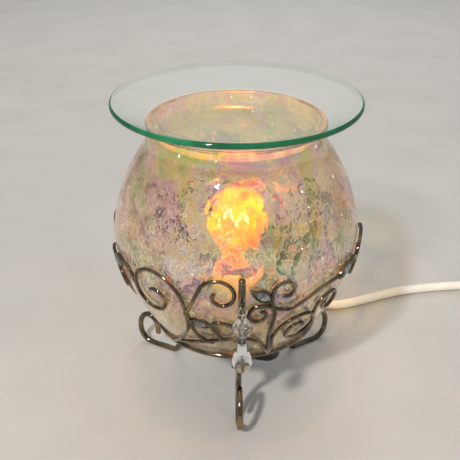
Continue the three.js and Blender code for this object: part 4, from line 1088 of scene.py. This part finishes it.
def volute(degrees, height, from_radius, to_radius, from_angle, to_angle):
    """A scroll about a place on the globe, as points in degrees round and millimetres up."""
    most_turn = 35
    count = math.ceil(abs(to_angle - from_angle) / most_turn)
    points = []
    for k in range(count + 1):
        radius = lerp(from_radius, to_radius, k / count)
        angle = math.radians(lerp(from_angle, to_angle, k / count))
        up = radius * math.sin(angle)
        around = radius * math.cos(angle) / basket_radius(HOOP_Z + height + up)
        points.append((degrees + math.degrees(around), height + up))
    return points


# One sector's wires, solder and leaves: degrees round from a leg, and millimetres above the hoop
SCROLLS = {
    "wave": [(19.5, 0), (15.4, 14.5), (14.1, 26.5), (14.6, 35), *volute(7.9, 39, 7.3, 2.2, 10, 430)],
    "tendril": [(12.7, 43.5), *volute(18.5, 52, 6.6, 2.6, 190, -110)],
    "right_swag": [(0, 22), (7.9, 17.5), (13, 10), (18.8, 1)],
    "vine": [
        (12.6, 44), (15, 42), (18.5, 40.6), (22.5, 40), (26.5, 42), (31, 44.5), (36, 47.2), (42, 48),
        (48.5, 48),
    ],
    "vine_end": [(57.5, 51.5), (61, 52.2), (64.5, 50.5), (67.6, 45)],
    "low_scroll": [(20.5, 0), (18, 11), *volute(30, 21.5, 13, 3.4, 190, -330)],
    "small_scroll": [(38.6, 24.5), *volute(45, 33.5, 9, 2.6, 205, -200)],
    "big_scroll": [
        (69, 0), (77, 4.5), (84, 10.5), (90, 17.5), (94.6, 27), *volute(79, 42.5, 18, 3.2, -15, 470),
    ],
    "post_scroll": [(94.8, 36.5), (98.4, 44), (101, 50.5), *volute(110.8, 51, 9.8, 3, 150, -200)],
    "leaf_stem": [(95.2, 37.4), (96.4, 33), (97.5, 23), (101, 17.5), (105.5, 16)],
    "post_stem": [(106.4, 31), (108.5, 33.3), (111.5, 33.5), (120, 29)],
    "curl": [(106, 30.4), (108, 25.5), (110.5, 19)],
    "left_swag": [(79, 6), (93.5, 12.5), (103, 16.5), (110.3, 19.5), (120, 22)],
}
SOLDERED = [
    (20, 0.4), (69, 0.4), (12.8, 44.5), (95, 37), (105.8, 31), (0.6, 21.8), (119.4, 22), (119.2, 29.3),
    (67.4, 45.5),
]
LEAVES = [
    {"degrees": 8.3, "height": 51.5, "tilt": -33, "length": 14.5, "width": 6.6},
    {"degrees": 53, "height": 49.6, "tilt": 20, "length": 14, "width": 7},
    {"degrees": 101.5, "height": 32.5, "tilt": -17, "length": 11.5, "width": 5.6},
]
WIRE_AWAY = GAP + WIRE_LIFT + WIRE / 2


def drape(points):
    """A wire's path on the globe, smoothed on a flat sheet of the belly's girth first."""
    flat = through([Vector((math.radians(d) * BELLY_R, h, 0)) for d, h in points], step=0.9)
    return [on_globe(math.degrees(p.x / BELLY_R), p.y, WIRE_AWAY) for p in flat]


def leaf_ring(length, width, share, z, arc_steps):
    """Two arcs that meet in points."""
    ring = []
    for side in (1, -1):
        for k in range(arc_steps):
            along = side * (1 - 2 * k / arc_steps)
            ring.append(Vector((share * along * length / 2, share * side * (1 - along**2) * width / 2, z)))
    return ring


def leaf_place(leaf):
    """Where a leaf lies: +X along it, and +Z out from the glass."""
    z = HOOP_Z + leaf["height"]
    tilt = math.radians(leaf["tilt"])
    near = 0.5
    slope = math.atan((basket_radius(z + near) - basket_radius(z - near)) / (2 * near))
    out = polar(1, leaf["degrees"])
    around = Vector((-out.y, out.x, 0))
    normal = out * math.cos(slope) - Vector((0, 0, math.sin(slope)))
    along = around * math.cos(tilt) + normal.cross(around) * math.sin(tilt)
    turn = Matrix((along, normal.cross(along), normal)).transposed().to_4x4()
    return Matrix.Translation(on_globe(leaf["degrees"], leaf["height"], 0) + normal * GAP) @ turn


def setting(leaf):
    """A boat-shaped cup with a rounded rim."""
    length, width = leaf["length"], leaf["width"]
    wall = 2 * SETTING_WALL
    cup = (length, width)
    hollow = (length - wall * length / width, width - wall)
    # Steps up the outside and down the hollow: the size, the share of it, and how high
    levels = [
        (*cup, 0.9, 0), (*cup, 1, 0.5), (*cup, 1, SETTING_HEIGHT - 0.3), (*cup, 0.95, SETTING_HEIGHT),
        (*hollow, 1.03, SETTING_HEIGHT), (*hollow, 1, SETTING_HEIGHT - 0.25), (*hollow, 1, SETTING_FLOOR),
    ]
    return moved(loft([leaf_ring(*level, arc_steps=12) for level in levels]), leaf_place(leaf))


def stone(leaf):
    """A pointed oval stone with a flat table and two rows of facets."""
    length, width = leaf["length"], leaf["width"]
    wall = 2 * (SETTING_WALL + GAP)
    size = (length - wall * length / width, width - wall)
    # Steps up the stone: its size, the share of it, and how high
    levels = [
        (*size, 0.95, SETTING_FLOOR + GAP), (*size, 1, SETTING_HEIGHT - 0.1),
        (*size, 0.78, SETTING_HEIGHT + 0.62 * STONE_CROWN),
        (*size, STONE_TABLE, SETTING_HEIGHT + STONE_CROWN),
    ]
    return moved(loft([leaf_ring(*level, arc_steps=5) for level in levels]), leaf_place(leaf))


def crystal_link():
    """A ring and its pin, about the crystal set's own axis."""
    middle = EYE_Z - EYE_R + EYE_WIRE / 2 + GAP + LINK_WIRE / 2 - LINK_R
    upright = Matrix.Rotation(math.pi / 2, 4, "Z") @ Matrix.Rotation(math.pi / 2, 4, "X")
    ring = moved(torus(LINK_R, LINK_WIRE / 2), Matrix.Translation((0, 0, middle)) @ upright)
    pin_steps = 6
    heights = [lerp(middle - LINK_R, DROP_TOP_Z - PIN_DEPTH, k / pin_steps) for k in range(pin_steps + 1)]
    return join(ring, rod([Vector((0, 0, z)) for z in heights], LINK_WIRE / 2, domed=False))


def crystal_bead():
    """A round bead, the same above and below its girdle."""
    shares = [(0.2, 1), (0.5, 0.94), (0.86, 0.5)]
    upper = [(r * BEAD_R, z * BEAD_HEIGHT / 2) for r, z in shares][::-1]
    lower = [(r, -z) for r, z in upper][::-1]
    return moved(faceted([*lower, (BEAD_R, 0), *upper], facets=10), Matrix.Translation((0, 0, BEAD_Z)))


def crystal_drop():
    """A pear-shaped drop, fullest at a third of its height."""
    shares = [
        (0.04, 0), (0.5, 0.06), (0.86, 0.17), (1, 0.32), (0.88, 0.47), (0.66, 0.63), (0.44, 0.79),
        (0.34, 0.92), (0.28, 1),
    ]
    bottom = DROP_TOP_Z - DROP_HEIGHT
    return faceted([(r * DROP_R, bottom + z * DROP_HEIGHT) for r, z in shares], facets=16)


def scroll_panel():
    """One sector's wires, with their solder and the leaf settings."""
    wires = [rod(drape(points), WIRE / 2, sides=10) for points in SCROLLS.values()]
    beads = [solder(on_globe(degrees, height, WIRE_AWAY), SOLDER_R) for degrees, height in SOLDERED]
    return join(*wires, *beads, *[setting(leaf) for leaf in LEAVES])


def basket():
    """A hoop, and three sectors of a leg, a panel with its stones, and a crystal set."""
    hoop_r = basket_radius(HOOP_Z) + GAP + HOOP_ROD / 2
    hoop = moved(torus(hoop_r, HOOP_ROD / 2, around=128, sides=14), Matrix.Translation((0, 0, HOOP_Z)))
    piece("hoop", hoop, "stand", PLATING)
    panel, link, bead, drop = scroll_panel(), crystal_link(), crystal_bead(), crystal_drop()
    for k, (name, side) in enumerate((("front", "right"), ("right", "back"), ("left", "left"))):
        turn = Matrix.Rotation(math.radians(FRONT_AZIMUTH + k * SECTOR), 4, "Z")
        bent_rod = leg(FRONT_FOOT_BEND if name == "front" else 0)
        piece(f"leg_{name}", moved(bent_rod, turn), "stand", PLATING)
        piece(f"scrollwork_{side}", moved(panel, turn), "stand", PLATING)
        for i, leaf in enumerate(LEAVES, 1):
            piece(f"leaf_stone_{side}_{i}", moved(stone(leaf), turn), "stand", STONE, flat=True)
        hang = turn @ Matrix.Translation((CRYSTAL_R, 0, 0))
        body = f"crystals_{name}"
        piece(f"crystal_link_{name}", moved(link, hang), body, NICKEL)
        piece(f"crystal_bead_{name}", moved(bead, hang), body, CRYSTAL, flat=True)
        piece(f"crystal_drop_{name}", moved(drop, hang), body, CRYSTAL)


glass_globe()
glass_dish()
bulb_glass()
bulb_screw_cap()
bulb_filament()
candle_sleeve()
wiring_cover()
strain_relief()
basket()
dress(BLACK_ABS, "bulb_insulator")
dress(NICKEL, "bulb_contact", "lock_washer")
dress(BULB, "bulb_stem")
dress(SLEEVE, "lampholder_body")
dress(BRASS, "lampholder_screw_shell", "lampholder_contact", "threaded_nipple", "lock_nut")
dress(PLATING, "base_plate")


# Stage: a pale floor, a small key light from the front left, a broad fill and back light, and the lit bulb


def pale_floor():
    half = 4
    corners = [(-half, -half, 0), (half, -half, 0), (half, half, 0), (-half, half, 0)]
    data = bpy.data.meshes.new("floor")
    data.from_pydata(corners, [], [(0, 1, 2, 3)])
    data.materials.append(trowelled_plaster())
    placed("floor", data)


def area_light(name, place, aim, size, power, colour):
    """A square light in metres and watts."""
    data = bpy.data.lights.new(name, "AREA")
    data.size = size
    data.energy = power
    data.color = linear(colour)[:3]
    made = placed(name, data)
    made.location = place
    made.rotation_euler = (Vector(aim) - Vector(place)).to_track_quat("-Z", "Y").to_euler()
    return made


def bulb_glow():
    """The filament's light on the things round it; glass doesn't show it as a ball."""
    data = bpy.data.lights.new("bulb_glow", "POINT")
    data.energy = 0.32
    data.color = linear("#ffac58")[:3]
    data.shadow_soft_size = 8 * MM
    made = placed("bulb_glow", data)
    made.location = (AXIS + Vector((0, 0, FILAMENT_Z))) * MM
    made.visible_transmission = False


def studio_world():
    """A bright ceiling over darker walls, so that glass and plating have something to mirror."""
    world = bpy.data.worlds.new("studio")
    world.use_nodes = True
    tree = world.node_tree
    tree.nodes.clear()
    facing = add(tree, "ShaderNodeTexCoord").outputs["Generated"]
    upward = add(tree, "ShaderNodeSeparateXYZ", {"Vector": facing}).outputs["Z"]
    greys = [(0.0, "#a9a8a6"), (0.35, "#d6d7d8"), (0.8, "#ffffff")]
    shade = add(tree, COLOUR_RAMP, {"Fac": upward}, greys)
    light = add(tree, "ShaderNodeBackground", {"Color": shade, "Strength": 0.5})
    add(tree, "ShaderNodeOutputWorld", {"Surface": light})
    bpy.context.scene.world = world


pale_floor()
area_light("key", (-0.68, -1.26, 1.3), aim=(0, 0, 0.06), size=0.13, power=27, colour="#fff9f2")
fill = area_light("fill", (0.9, -0.8, 0.7), aim=(0, 0, 0.08), size=0.9, power=4, colour="#eef3ff")
back = area_light("back", (0.1, 1.0, 0.9), aim=(0, 0, 0.1), size=0.8, power=5, colour="#ffffff")
fill.visible_glossy = False
back.visible_glossy = False
bulb_glow()
studio_world()
bpy.context.scene.view_settings.view_transform = "Standard"
